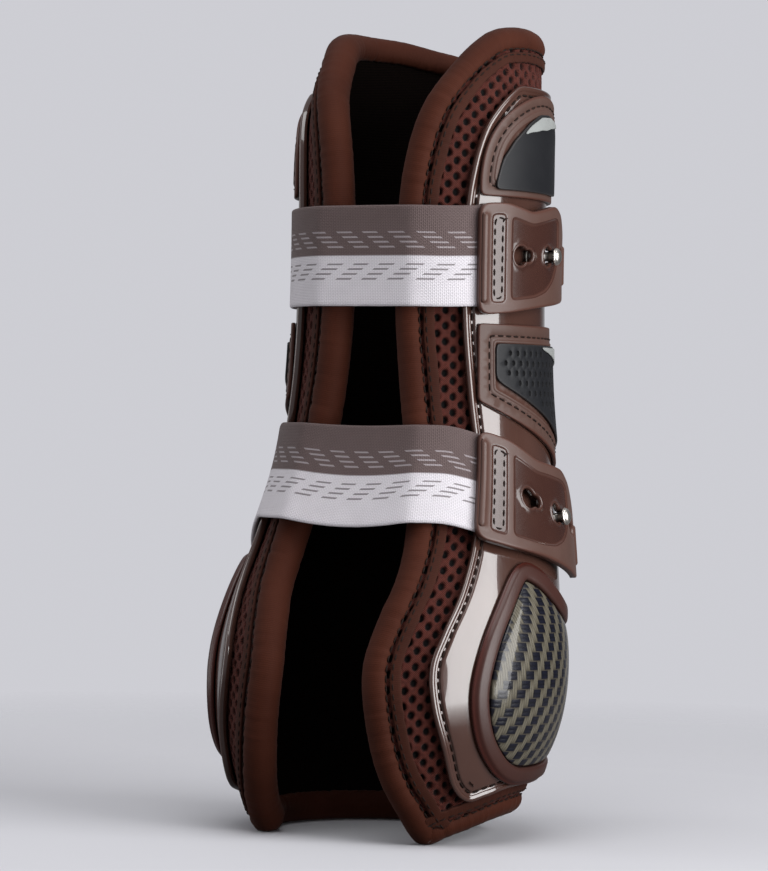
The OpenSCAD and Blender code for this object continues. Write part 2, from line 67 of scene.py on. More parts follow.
# angle, height, and how much higher the edge is on the outer side
EDGE = np.array([
    [180, -1.5, 0], [150, -1.5, 1.5], [120, -1.5, 8], [90, -1.4, 8.5], [66, -1.5, 4],
    [48, -1.6, 0.2], [33, 10, 0], [25, 22, 0], [20, 38, 0], [18, 54, 0], [21, 68, 0],
    [25, 80, 0], [26.5, 92, 0], [25, 108, 0], [19, 132, 0], [14.5, 160, 0], [15, 190, 0],
    [18.5, 208, 0], [25, 223, 0],
    [34, 234, 0], [46, 243, 0], [61, 249, 0], [80, 251, 0], [105, 251, 0], [130, 250, 0],
    [155, 247, 0], [180, 244, 0]])
# how far the shell's edge lies inside the boot's edge, along the bottom and then all the way up; it
# grows between two rows of the edge, where these places [angle, slope distance] shape its corner
SHELL_MARGIN_BOTTOM, SHELL_MARGIN = 13.5, 21
SHELL_CORNER_ROWS = 4, 7
SHELL_CORNER = np.array([[72, 21.9], [62.5, 24.3], [54.8, 29.3], [49.3, 39.9]])
PAD_OUTLINE = np.array([
    [180, 21, 0], [150, 20.7, 0], [125, 20, 0], [105, 19, 0], [90, 18.7, 0], [79, 19.6, 0],
    [69, 24, 0], [60.5, 33, 0], [56.8, 46, 0], [59.5, 61, 0], [66, 75, 0], [71, 81.8, 0],
    [77, 83.8, 0], [86, 81.6, 0], [97, 77, 0], [110, 72.5, 0], [130, 69, 0], [155, 67.5, 0],
    [180, 67, 0]])
BOTTOM_CORNER = 5
TOP_CORNER = 20
PAD_FRONT = 8

# depths of the layers
LINING_IN, LINING_OUT = -7.8, -6.7
FOAM_IN, FOAM_OUT = -6.6, -1.6
MESH_IN = -1.5
SHELL_IN, SHELL_OUT = 0.6, 2.4
OVERLAY_IN, OVERLAY_OUT = 2.8, 3.9
INSERT_IN, INSERT_OUT = 4.2, 4.9
CREST_IN, CREST_OUT = 5.0, 5.4
STRAP_IN, STRAP_OUT = 3.3, 4.6
TAB_IN, TAB_OUT = 4.9, 6.9
ROLL_HALF, ROLL_DEPTH, ROLL_RISE = 5.5, -3.9, 5.4
TAPE_WIDTH = 3.4
LAYER_INSET = 9.3
UPPER, LOWER = 177, 110
STRAP_WIDTH = 30.5
STUD_ANGLE = 98
TAB_BEND_END = 88
ANCHOR_ANGLE = -90

stations = PROFILE.copy()
stations[:, 1] = CANNON_RADIUS + PROFILE[:, 1] * (FETLOCK_RADIUS - CANNON_RADIUS)
slopes = np.concatenate([[0],
                         np.cumsum(np.hypot(np.diff(stations[:, 0]), np.diff(stations[:, 1])))])
before = np.maximum(np.arange(len(stations)) - 1, 0)
after = np.minimum(np.arange(len(stations)) + 1, len(stations) - 1)
tangents = (stations[after] - stations[before]) / (slopes[after] - slopes[before])[:, None]


def slope_at(height):
    return np.interp(height, stations[:, 0], slopes)


def station(s):
    """Height, radius, centre and flattening at a distance up the slope."""
    s = np.asarray(s, float)
    i = np.clip(np.searchsorted(slopes, s, side="right") - 1, 0, len(slopes) - 2)
    h = (slopes[i + 1] - slopes[i])[..., None]
    u = (s - slopes[i])[..., None] / h
    u2, u3 = u * u, u * u * u
    return (stations[i] * (2 * u3 - 3 * u2 + 1) + tangents[i] * h * (u3 - 2 * u2 + u)
            + stations[i + 1] * (3 * u2 - 2 * u3) + tangents[i + 1] * h * (u3 - u2))


def section_point(angle, s):
    q = station(s)
    a = np.radians(angle)
    front = np.maximum(np.cos(a), 0)
    return np.stack([q[..., 1] * np.sin(a),
                     q[..., 2] - q[..., 1] * np.cos(a) * (1 - q[..., 3] * front),
                     q[..., 0] + 0 * a], -1)


def outward(angle, s):
    step = 0.01
    n = np.cross(section_point(angle + step, s) - section_point(angle - step, s),
                 section_point(angle, s + step) - section_point(angle, s - step))
    return n / np.linalg.norm(n, axis=-1, keepdims=True)


def on_leg(angle, s, depth):
    angle, s, depth = np.broadcast_arrays(*(np.asarray(x, float) for x in (angle, s, depth)))
    return section_point(angle, s) + depth[..., None] * outward(angle, s)


def ease(x):
    c = np.clip(x, 0, 1)
    return c * c * (3 - 2 * c)


def on_curve(points, v):
    """Catmull-Rom points on a list of points, at parameters from 0 to its last index."""
    last = len(points) - 1
    v = np.asarray(v, float)
    i = np.clip(np.floor(v).astype(int), 0, last - 1)
    u = (v - i)[..., None]
    p0, p1, p2, p3 = (points[np.clip(i + k, 0, last)] for k in (-1, 0, 1, 2))
    return (2 * p1 + (p2 - p0) * u + (2 * p0 - 5 * p1 + 4 * p2 - p3) * u * u
            + (3 * p1 - p0 - 3 * p2 + p3) * u ** 3) / 2


def with_slopes(outline):
    made = outline.copy()
    made[:, 1] = slope_at(outline[:, 1])
    return made


HALF_EDGE = with_slopes(EDGE)
PAD_EDGE = with_slopes(PAD_OUTLINE)


def outline_place(outline, v, side):
    e = on_curve(outline, v)
    return e[..., 0], e[..., 1] + np.where(side > 0, e[..., 2], 0)


def inset_place(outline, v, side, inset):
    """Angle and slope distance moved in from an outline by a distance along the surface."""
    step = 0.01
    last = len(outline) - 1
    v = np.asarray(v, float)
    a0, s0 = outline_place(outline, v, side)
    a1, s1 = outline_place(outline, np.maximum(v - step, 0), side)
    a2, s2 = outline_place(outline, np.minimum(v + step, last), side)
    per_degree = station(s0)[..., 1] * np.pi / 180
    dx, dy = (a2 - a1) * per_degree, s2 - s1
    n = np.hypot(dx, dy)
    angle = a0 + dy / n * inset / per_degree
    held = np.where((v <= 0) | (v >= last), 180, np.minimum(angle, 180))
    return np.where(side > 0, held, 360 - held), s0 - dx / n * inset


def shell_outline():
    """The shell's edge, inside the boot's edge by its margin, with its lower front corner drawn."""
    first, last = SHELL_CORNER_ROWS
    row = np.arange(len(HALF_EDGE))
    grown = ease((row - first) / (last - first))
    margin = SHELL_MARGIN_BOTTOM + (SHELL_MARGIN - SHELL_MARGIN_BOTTOM) * grown
    angle, s = inset_place(HALF_EDGE, row, 1, margin)
    made = np.stack([angle, s - HALF_EDGE[:, 2], HALF_EDGE[:, 2]], -1)
    made[first:last + 1, :2] = SHELL_CORNER
    return made


SHELL_EDGE = shell_outline()


def side_place(v, side, inset, shaped):
    """Angle and slope distance on the shell's edge if shaped, and else on the boot's."""
    return np.stack(inset_place(SHELL_EDGE if shaped else HALF_EDGE, v, side, inset), -1)


def rim_place(u, corner, back, inset, shaped):
    side = np.where(u < 0.5, 1, -1)
    k = 1 - np.abs(2 * u - 1)
    return side_place(corner + (back - corner) * k, side, inset, shaped)


def cover_place(u, w, inset, shaped):
    """Place inside the boot's outline: u runs from the outer front edge by the back to the inner
    front edge, w from the bottom to the top."""
    u, w = np.broadcast_arrays(np.asarray(u, float), np.asarray(w, float))
    last = len(EDGE) - 1
    v = BOTTOM_CORNER + (TOP_CORNER - BOTTOM_CORNER) * w
    low = rim_place(u, BOTTOM_CORNER, 0, inset, shaped)
    high = rim_place(u, TOP_CORNER, last, inset, shaped)
    right = side_place(v, 1, inset, shaped)
    left = side_place(v, -1, inset, shaped)
    c00, c10 = (side_place(BOTTOM_CORNER, side, inset, shaped) for side in (1, -1))
    c01, c11 = (side_place(TOP_CORNER, side, inset, shaped) for side in (1, -1))
    u, w = u[..., None], w[..., None]
    return (low * (1 - w) + high * w + right * (1 - u) + left * u
            - (c00 * (1 - u) + c10 * u) * (1 - w) - (c01 * (1 - u) + c11 * u) * w)


def strap_height(level, angle):
    """Height of the middle of a strap and its tab."""
    angle = np.asarray(angle, float)
    x = np.maximum(angle - 38, 0)
    if level == UPPER:
        return UPPER + 0.03 * x
    return LOWER - 0.245 * x * x / (x + 9) - 12 * ease((-angle - 52) / 33)


def tab_depth(angle, s, depth):
    """A tab leaves the shell along a straight line past the angle where its bend ends."""
    bend = np.radians(np.maximum(angle - TAB_BEND_END, 0))
    return depth + 0.12 * (station(s)[..., 1] + depth) * (1 / np.cos(bend) - 1)


# ---------- cloth coordinates ----------

def cloth_uv(places):
    """Flat coordinates in millimetres of the padding's cloth, which is cut in two mirrored halves
    that meet at the back."""
    angle, s = places[..., 0], places[..., 1]
    inner = angle > 180
    turn = np.where(inner, 360 - angle, angle) - 40
    radius = station(np.clip(s, 26, 215))[..., 1]
    return np.stack([np.where(inner, -1, 1) * np.radians(turn) * radius, s], -1)


# ---------- meshes ----------

def weld(mesh):
    """Joins the points that lie on each other and turns every face outward."""
    bm = bmesh.new()
    bm.from_mesh(mesh)
    bmesh.ops.remove_doubles(bm, verts=bm.verts, dist=2e-6)
    bmesh.ops.dissolve_degenerate(bm, edges=bm.edges, dist=1e-7)
    bmesh.ops.recalc_face_normals(bm, faces=bm.faces)
    bm.to_mesh(mesh)
    bm.free()


def piece(name, verts, faces, uvs, materials, body, slot, nodes=(), kinds=None, marks=None):
    """A new piece from points in millimetres. kinds gives each face's material, and marks are
    values from 0 to 1 for the points, which the materials use for worn rims, and the spacer
    cloth for the painted shade in its pores."""
    mesh = bpy.data.meshes.new(name)
    mesh.from_pydata((np.asarray(verts) * MM).tolist(), [], faces)
    mesh.polygons.foreach_set("use_smooth", np.ones(len(mesh.polygons), bool))
    if kinds is not None:
        mesh.polygons.foreach_set("material_index", np.asarray(kinds, np.int32))
    corner = np.zeros(len(mesh.loops), np.int32)
    mesh.loops.foreach_get("vertex_index", corner)
    layer = mesh.uv_layers.new(name="Cloth")
    layer.data.foreach_set("uv", np.asarray(uvs, np.float32)[corner].ravel())
    if marks is not None:
        mark = mesh.attributes.new("rim", "FLOAT", "POINT")
        mark.data.foreach_set("value", np.asarray(marks, np.float32))
    for m in materials:
        mesh.materials.append(m)
    weld(mesh)
    obj = bpy.data.objects.new(name, mesh)
    bpy.context.scene.collection.objects.link(obj)
    if body:
        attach(obj, body)
    if nodes:
        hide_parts(*nodes)
    return obj


def grid_faces(rows, cols, start=0, flip=False):
    ids = start + np.arange(rows * cols).reshape(rows, cols)
    quads = np.stack([ids[:-1, :-1], ids[:-1, 1:], ids[1:, 1:], ids[1:, :-1]], -1).reshape(-1, 4)
    return (quads[:, ::-1] if flip else quads).tolist()


def slab(top, under):
    """Points and faces of a closed plate between two grids of points."""
    rows, cols = top.shape[:2]
    n = rows * cols
    rim = np.concatenate([np.arange(cols), np.arange(1, rows) * cols + cols - 1,
                          (rows - 1) * cols + np.arange(cols - 2, -1, -1),
                          np.arange(rows - 2, 0, -1) * cols])
    faces = grid_faces(rows, cols) + grid_faces(rows, cols, n, True)
    faces += [[a, b, b + n, a + n] for a, b in zip(rim.tolist(), np.roll(rim, -1).tolist())]
    return np.concatenate([top.reshape(-1, 3), under.reshape(-1, 3)]), faces


def boundary(n_u, n_w):
    """Parameters once round the edge of the cover, closed."""
    u = np.concatenate([np.linspace(0, 1, n_u + 1)[:-1], np.ones(n_w),
                        np.linspace(1, 0, n_u + 1)[:-1], np.zeros(n_w + 1)])
    w = np.concatenate([np.zeros(n_u), np.linspace(0, 1, n_w + 1)[:-1], np.ones(n_u),
                        np.linspace(1, 0, n_w + 1)])
    return u, w


def cover_mesh(rings, n_u, n_w, shaped, depth_in):
    """Points, faces, cloth coordinates and marks of a layer. rings are (inset, depth, mark) from
    the edge inward; the last one is the edge of the plain middle."""
    bu, bw = boundary(n_u, n_w)
    verts, faces, uvs, marks = [], [], [], []
    ring_places = np.stack([cover_place(bu, bw, r[0], shaped) for r in rings])
    depths = np.array([r[1] for r in rings])[:, None] + 0 * bu
    mark = np.array([r[2] for r in rings])[:, None] + 0 * bu
    u, w = np.meshgrid(np.linspace(0, 1, n_u + 1), np.linspace(0, 1, n_w + 1))
    middle = cover_place(u, w, rings[-1][0], shaped)
    middle_depth = rings[-1][1] + 0 * u
    under = cover_place(u, w, rings[0][0], shaped)
    edge = np.stack([ring_places[0], ring_places[0]])
    edge_depth = np.stack([0 * bu + depth_in, depths[0]])
    start = 0
    for places, depth, m, flip in ((edge, edge_depth, 0 * edge_depth + rings[0][2], False),
                                   (ring_places, depths, mark, False),
                                   (middle, middle_depth, 0 * u, False),
                                   (under, 0 * u + depth_in, 0 * u, True)):
        rows, cols = places.shape[:2]
        verts.append(on_leg(places[..., 0], places[..., 1], depth).reshape(-1, 3))
        uvs.append(cloth_uv(places).reshape(-1, 2))
        marks.append(np.broadcast_to(m, (rows, cols)).ravel())
        faces += grid_faces(rows, cols, start, flip)
        start += rows * cols
    return np.concatenate(verts), faces, np.concatenate(uvs), np.concatenate(marks)


def edge_path(outline, per_span):
    """Parameters and sides once round an outline, closed."""
    last = len(outline) - 1
    half = np.arange(per_span * last + 1) / per_span
    v = np.concatenate([half, half[-2::-1]])
    side = np.concatenate([np.ones(len(half)), -np.ones(len(half) - 1)])
    return v, side


def even_path(outline, spacing, inset):
    """The same with even spacing at an inset, and the distance run at each point."""
    v, side = edge_path(outline, 40)
    a, s = inset_place(outline, v, side, inset)
    p = on_leg(a, s, 0)
    run = np.concatenate([[0], np.cumsum(np.linalg.norm(np.diff(p, axis=0), axis=1))])
    n = int(round(run[-1] / spacing))
    at = np.linspace(0, run[-1], n + 1)
    last = len(outline) - 1
    turned = np.where(side > 0, v, 2 * last - v)
    t = np.interp(at, run, turned)
    return np.where(t <= last, t, 2 * last - t), np.where(t <= last, 1, -1), at


def swept(outline, spacing, section, inset_for_run):
    """Points, faces and coordinates of a piece that follows an outline all round. The section gives
    insets and depths, each (points along, points across), and is closed here."""
    v, side, run = even_path(outline, spacing, inset_for_run)
    insets, depths = section(run, v, side)
    insets = np.concatenate([insets, insets[:, :1]], 1)
    depths = np.concatenate([depths, depths[:, :1]], 1)
    a, s = inset_place(outline, v[:, None] + 0 * insets, side[:, None] + 0 * insets, insets)
    verts = on_leg(a, s, depths)
    across = np.concatenate([np.zeros((len(v), 1)), np.cumsum(
        np.hypot(np.diff(insets, axis=1), np.diff(depths, axis=1)), 1)], 1)
    uvs = np.stack([run[:, None] + 0 * insets, across], -1)
    rows, cols = insets.shape
    return verts.reshape(-1, 3), grid_faces(rows, cols), uvs.reshape(-1, 2)


def smooth_noise(run, shortest, longest, parts=9):
    """A wavy line that closes on itself."""
    total = run.max()
    cycles = np.unique(np.round(total / np.geomspace(longest, shortest, parts)).astype(int))
    phases = rng.uniform(0, 2 * np.pi, len(cycles))
    sizes = rng.uniform(0.5, 1, len(cycles)) / np.sqrt(len(cycles))
    return sum(k * np.sin(2 * np.pi * c * run / total + p) for c, p,
               k in zip(cycles, phases, sizes))


# ---------- stitches ----------

def stitch_mesh(points, normals, period, length, radius, sink=0.0):
    """A row of stitches along a line of points: each is a small rounded bar whose ends dive in."""
    seg = np.linalg.norm(np.diff(points, axis=0), axis=1)
    run = np.concatenate([[0], np.cumsum(seg)])
    n = max(int(run[-1] / period), 1)
    mids = (np.arange(n) + 0.5) * run[-1] / n
    t = np.array([-1, -0.8, -0.4, 0, 0.4, 0.8, 1.0])
    at = mids[:, None] + t * length / 2
    centre = np.stack([np.interp(at, run, points[:, k]) for k in range(3)], -1)
    up = np.stack([np.interp(at, run, normals[:, k]) for k in range(3)], -1)
    up /= np.linalg.norm(up, axis=-1, keepdims=True)
    along = np.gradient(centre, axis=1)
    along /= np.linalg.norm(along, axis=-1, keepdims=True)
    side = np.cross(along, up)
    size = radius * np.array([0.35, 0.8, 1, 1.05, 1, 0.8, 0.35])
    lift = radius * np.array([-0.9, -0.2, 0.25, 0.35, 0.25, -0.2, -0.9]) - sink
    turn = np.radians(np.arange(0, 360, 45))
    ring = (side[:, :, None] * np.cos(turn)[:, None] + up[:, :, None] * np.sin(turn)[:, None])
    verts = centre[:, :, None] + ring * size[:, None, None] + (up * lift[:, None])[:, :, None]
    m, k = len(t), len(turn)
    ids = np.arange(m * k).reshape(m, k)
    nxt = np.roll(ids, -1, 1)
    one = np.stack([ids[:-1], nxt[:-1], nxt[1:], ids[1:]], -1).reshape(-1, 4).tolist()
    one += [ids[0][::-1].tolist(), ids[-1].tolist()]
    faces = [[i + q * m * k for i in f] for q in range(n) for f in one]
    uvs = np.stack(np.broadcast_arrays(at[..., None], turn[None, None]), -1).reshape(-1, 2)
    return verts.reshape(-1, 3), faces, uvs


def merge(parts):
    """One set of points, faces and coordinates from several."""
    verts, faces, uvs, start = [], [], [], 0
    for v, f, uv in parts:
        verts.append(v)
        uvs.append(uv)
        faces += [[i + start for i in face] for face in f]
        start += len(v)
    return np.concatenate(verts), faces, np.concatenate(uvs)


def outline_stitches(outline, inset, depth, period=3.2, length=2.5, radius=0.3, sink=0.0):
    """Stitches that follow an outline at an inset, all round."""
    v, side, _ = even_path(outline, 0.8, inset)
    a, s = inset_place(outline, v, side, inset)
    return stitch_mesh(on_leg(a, s, depth), outward(a, s), period, length, radius, sink)


# ---------- moulded pieces drawn flat ----------

def resample(loop, spacing):
    closed = np.concatenate([loop, loop[:1]])
    run = np.concatenate([[0], np.cumsum(np.linalg.norm(np.diff(closed, axis=0), axis=1))])
    n = max(int(round(run[-1] / spacing)), 8)
    at = np.linspace(0, run[-1], n + 1)[:-1]
    return np.stack([np.interp(at, run, closed[:, k]) for k in range(2)], 1)


def soften(loop, rounds):
    for _ in range(rounds):
        loop = loop / 2 + (np.roll(loop, 1, 0) + np.roll(loop, -1, 0)) / 4
    return loop


def loop_normals(loop):
    """Unit normals to the left of a closed loop: inward if it runs anticlockwise."""
    t = np.roll(loop, -1, 0) - np.roll(loop, 1, 0)
    t /= np.linalg.norm(t, axis=1, keepdims=True)
    return np.stack([-t[:, 1], t[:, 0]], 1)


def inset_loop(loop, distance, spacing=0.6, rounds=6):
    moved = loop + loop_normals(loop) * distance
    gaps = np.sqrt(((moved[:, None] - loop[None]) ** 2).sum(-1)).min(1)
    return soften(resample(moved[gaps > distance - 0.04], spacing), rounds)


def oriented(loop):
    """The loop run anticlockwise."""
    x, y = loop.T
    area = (x * np.roll(y, -1) - y * np.roll(x, -1)).sum()
    return loop if area > 0 else loop[::-1]


def inside(points, starts, ends):
    """Whether each point is inside the closed edges from starts to ends."""
    found = np.zeros(len(points), bool)
    for i in range(0, len(points), 400):
        p = points[i:i + 400, None]
        crosses = (starts[:, 1] > p[..., 1]) != (ends[:, 1] > p[..., 1])
        rise = np.where(ends[:, 1] == starts[:, 1], 1e-12, ends[:, 1] - starts[:, 1])
        x = starts[:, 0] + (p[..., 1] - starts[:, 1]) * (ends[:, 0] - starts[:, 0]) / rise
        found[i:i + 400] = (crosses & (p[..., 0] < x)).sum(1) % 2 == 1
    return found


def nearest(points, others):
    found = np.zeros(len(points))
    for i in range(0, len(points), 400):
        d = points[i:i + 400, None] - others[None]
        found[i:i + 400] = np.sqrt((d ** 2).sum(-1)).min(1)
    return found


class Relief:
    """A thin moulded piece drawn flat, with a depth at each point, and then wrapped on the leg."""

    def __init__(self):
        self.points, self.depths, self.marks = [], [], []
        self.faces, self.kinds = [], []
        self.count = 0

    def add(self, xy, depth, mark=0.0):
        self.points.append(np.asarray(xy, float))
        self.depths.append(np.broadcast_to(depth, len(xy)).astype(float))
        self.marks.append(np.broadcast_to(mark, len(xy)).astype(float))
        self.count += len(xy)
        return np.arange(self.count - len(xy), self.count)

    def rings(self, loop, steps, kind=0):
        """Bands of faces along a loop; steps are (inset, depth, mark)."""
        normals = loop_normals(loop)
        rows = [self.add(loop + normals * inset, depth, mark) for inset, depth, mark in steps]
        for a, b in zip(rows, rows[1:]):
            self.faces += np.stack([a, np.roll(a, -1), np.roll(b, -1), b], 1).tolist()
            self.kinds += [kind] * len(a)
        return rows[0], rows[-1]

    def fill(self, outer, holes=(), spacing=2.0, depth=0.0, kind=0, mark=0.0):
        """Faces between the outer ring and the holes' rings."""
        loops = [outer, *holes]
        flat = np.concatenate(self.points)
        ids = np.concatenate(loops)
        starts = flat[ids]
        ends = np.concatenate([np.roll(flat[k], -1, 0) for k in loops])
        low, high = starts.min(0), starts.max(0)
        xs = np.arange(low[0], high[0], spacing)
        ys = np.arange(low[1], high[1], spacing * 0.87)
        gx, gy = np.meshgrid(xs, ys)
        gx = gx + (np.arange(len(ys)) % 2)[:, None] * spacing / 2
        free = np.stack([gx.ravel(), gy.ravel()], 1)
        free = free[inside(free, starts, ends)]
        free = free[nearest(free, starts) > 0.55 * spacing]
        new = self.add(free, depth(free) if callable(depth) else depth, mark)
        ids = np.concatenate([ids, new])
        coords = np.concatenate([starts, free])
        edges, at = [], 0
        for k in loops:
            n = len(k)
            edges += [(at + i, at + (i + 1) % n) for i in range(n)]
            at += n
        out = delaunay_2d_cdt([Vector(p) for p in coords], edges, [], 0, 1e-5)
        spots, tris, origins = np.array([tuple(p) for p in out[0]]), out[2], out[3]
        tris = np.array(tris)
        tris = tris[inside(spots[tris].mean(1), starts, ends)]
        source = np.array([o[0] if len(o) else -1 for o in origins])
        for i in np.unique(tris[source[tris] < 0]):
            source[i] = len(ids)
            spot = spots[i:i + 1]
            ids = np.append(ids, self.add(spot, depth(spot) if callable(depth) else depth, mark))
        self.faces += ids[source[tris]].tolist()
        self.kinds += [kind] * len(tris)

    def wrapped(self, place):
        flat = np.concatenate(self.points)
        return place(flat[:, 0], flat[:, 1],
                     np.concatenate(self.depths)), flat, np.concatenate(self.marks)


# ---------- materials ----------

class Look:
    """One material's nodes. Its patterns are laid out in millimetres on the Cloth coordinates."""

    def __init__(self, name, **settings):
        self.material = bpy.data.materials.new(name)
        self.material.use_nodes = True
        tree = self.material.node_tree
        self.nodes, self.links = tree.nodes, tree.links
        self.shader = self.nodes["Principled BSDF"]
        for key, value in settings.items():
            self.set(key, value)
        uv = self.add("UVMap", uv_map="Cloth").outputs[0]
        split = self.add("SeparateXYZ", {"Vector": uv})
        self.uv, self.x, self.y = uv, split.outputs[0], split.outputs[1]
        self.place = self.add("TexCoord").outputs["Object"]

    def set(self, key, value):
        self.feed(self.shader.inputs[key.replace("_", " ").title().replace("Ior", "IOR")], value)

    def feed(self, socket, value):
        if isinstance(value, bpy.types.NodeSocket):
            self.links.new(value, socket)
        elif isinstance(value, tuple) and len(value) == 3 and len(socket.default_value) == 4:
            socket.default_value = (*value, 1)
        else:
            socket.default_value = value

    def add(self, kind, inputs=None, **settings):
        node = self.nodes.new("ShaderNode" + kind)
        for key, value in settings.items():
            setattr(node, key, value)
        for key, value in (inputs or {}).items():
            self.feed(node.inputs[key], value)
        return node

    def math(self, operation, *values):
        node = self.add("Math", operation=operation)
        for socket, value in zip(node.inputs, values):
            self.feed(socket, value)
        return node.outputs[0]

    def mix(self, factor, a, b):
        node = self.add("Mix", data_type="RGBA")
        for index, value in ((0, factor), (6, a), (7, b)):
            self.feed(node.inputs[index], value)
        return node.outputs[2]

    def fit(self, value, low, high, to_low=0.0, to_high=1.0):
        node = self.add("MapRange", {"Value": value, "From Min": low, "From Max": high,
                                     "To Min": to_low, "To Max": to_high})
        return node.outputs[0]

    def noise(self, size, detail=2.0, vector=None, stretch=None):
        """Noise from 0 to 1 with features of a size in millimetres."""
        source = vector or self.place
        scale = 1 / size if vector else 1 / (size * MM)
        if stretch:
            source = self.add("Mapping", {"Vector": source, "Scale": stretch}).outputs[0]
        return self.add("TexNoise", {"Vector": source, "Scale": scale, "Detail": detail}).outputs[0]

    def wave(self, value, pitch, phase=0.0):
        """A ridge from 0 to 1 for every pitch."""
        turns = self.math("MULTIPLY_ADD", value, 2 * np.pi / pitch, phase)
        return self.math("MULTIPLY_ADD", self.math("SINE", turns), 0.5, 0.5)

    def rim(self):
        return self.add("Attribute", attribute_name="rim").outputs["Fac"]

    def bump(self, height, size, below=None):
        """Bumps of a height in millimetres."""
        inputs = {"Height": height, "Distance": size * MM, "Strength": 1.0}
        if below:
            inputs["Normal"] = below
        normal = self.add("Bump", inputs).outputs[0]
        self.links.new(normal, self.shader.inputs["Normal"])
        return normal


def plain_cloth(name, dark, light, rib, rib_height, roughness, sheen=0.03, along="x"):
    """A woven cloth with fine ribs, uneven colour and a soft sheen."""
    k = Look(name, roughness=roughness, sheen_weight=sheen, sheen_roughness=0.45,
             specular_ior_level=0.12)
    wobble = k.math("MULTIPLY", k.noise(1.6), 0.5)
    ribs = k.wave(k.math("ADD", k.x if along == "x" else k.y, wobble), rib)
    threads = k.wave(k.y if along == "x" else k.x, rib * 0.6)
    patches = k.fit(k.noise(14, 3), 0.35, 0.65)
    tone = k.math("MULTIPLY_ADD", ribs, 0.55, k.math("MULTIPLY", patches, 0.45))
    k.set("base_color", k.mix(tone, dark, light))
    fuzz = k.bump(k.noise(0.12, 2), 0.03)
    height = k.math("MULTIPLY_ADD", threads, 0.35, ribs)
    k.bump(height, rib_height, fuzz)
    return k.material


def lining_look():
    k = Look("lining_jersey", roughness=0.9, sheen_weight=0.0, specular_ior_level=0.05)
    grain = k.wave(k.x, 0.7)
    rows = k.wave(k.math("ADD", k.y, k.math("MULTIPLY", grain, 0.3)), 0.9)
    k.set("base_color", k.mix(k.math("MULTIPLY", grain, rows), (0.002, 0.001, 0.0008),
                              (0.008, 0.004, 0.003)))
    k.bump(k.math("MULTIPLY", grain, rows), 0.12)
    return k.material


def foam_look():
    k = Look("foam", roughness=0.95)
    cells = k.add("TexVoronoi", {"Vector": k.place, "Scale": 1 / (0.6 * MM)}).outputs["Distance"]
    k.set("base_color", k.mix(cells, (0.02, 0.018, 0.017), (0.07, 0.065, 0.06)))
    k.bump(cells, 0.2)
    return k.material


def spacer_look():
    """Knitted spacer cloth: pink-brown yarns in two diagonals between pores painted near-black as
    shade.
    """
    k = Look("spacer_mesh", roughness=0.72, sheen_weight=0.04, sheen_roughness=0.4,
             specular_ior_level=0.15)
    lean = k.math("MULTIPLY", k.y, MESH_COLUMN / (MESH_ROW / 2))
    one = k.wave(k.math("ADD", k.x, lean), 0.62)
    two = k.wave(k.math("SUBTRACT", k.x, lean), 0.62)
    left = k.wave(k.x, 2 * MESH_COLUMN)
    yarn = k.mix(left, one, two)
    tone = k.math("MULTIPLY", yarn, k.fit(k.noise(0.8, 3), 0.3, 0.7, 0.5, 1.0))
    cloth = k.mix(tone, (0.022, 0.005, 0.0035), (0.135, 0.030, 0.020))
    # painted shade: the pores, marked by the rim attribute, are coloured near-black in place of the
    # shade deep in the holes
    k.set("base_color", k.mix(k.rim(), cloth, (0.0015, 0.001, 0.001)))
    k.bump(yarn, 0.13, k.bump(k.noise(0.15, 2), 0.03))
    return k.material


def thread_look(name, dark, light):
    k = Look(name, roughness=0.6, specular_ior_level=0.15)
    twist = k.wave(k.math("ADD", k.x, k.math("MULTIPLY", k.y, 0.12)), 0.45)
    k.set("base_color", k.mix(twist, dark, light))
    k.bump(twist, 0.06)
    return k.material


def shell_look():
    """Moulded shell with a polished face, a slightly orange-peeled surface and fine rub marks."""
    k = Look("shell_gloss", coat_weight=1.0, coat_roughness=0.03, coat_ior=1.6,
             specular_ior_level=0.3)
    cloud = k.fit(k.noise(22, 3), 0.35, 0.65)
    k.set("base_color", k.mix(cloud, (0.058, 0.026, 0.019), (0.070, 0.033, 0.025)))
    rubs = k.noise(1.1, 4, stretch=(1, 1, 0.06))
    k.set("roughness", k.fit(rubs, 0.3, 0.75, 0.14, 0.24))
    k.bump(k.noise(1.5, 1), 0.004, k.bump(rubs, 0.001))
    return k.material


def matte_look(name, face, face_dark, rim, roughness, grain=0.28, depth=0.02, coat=0.0, shine=0.5):
    """Moulded rubbery plastic with a fine grain, redder and smoother along its rims."""
    k = Look(name, coat_weight=coat, coat_roughness=0.25, specular_ior_level=shine)
    cloud = k.fit(k.noise(9, 4), 0.3, 0.7)
    k.set("base_color", k.mix(k.rim(), k.mix(cloud, face_dark, face), rim))
    specks = k.noise(grain, 2)
    k.set("roughness", k.math("SUBTRACT",
                              k.fit(specks, 0.3, 0.7, roughness - 0.05, roughness + 0.06),
                              k.math("MULTIPLY", k.rim(), 0.12)))
    k.bump(specks, depth)
    return k.material


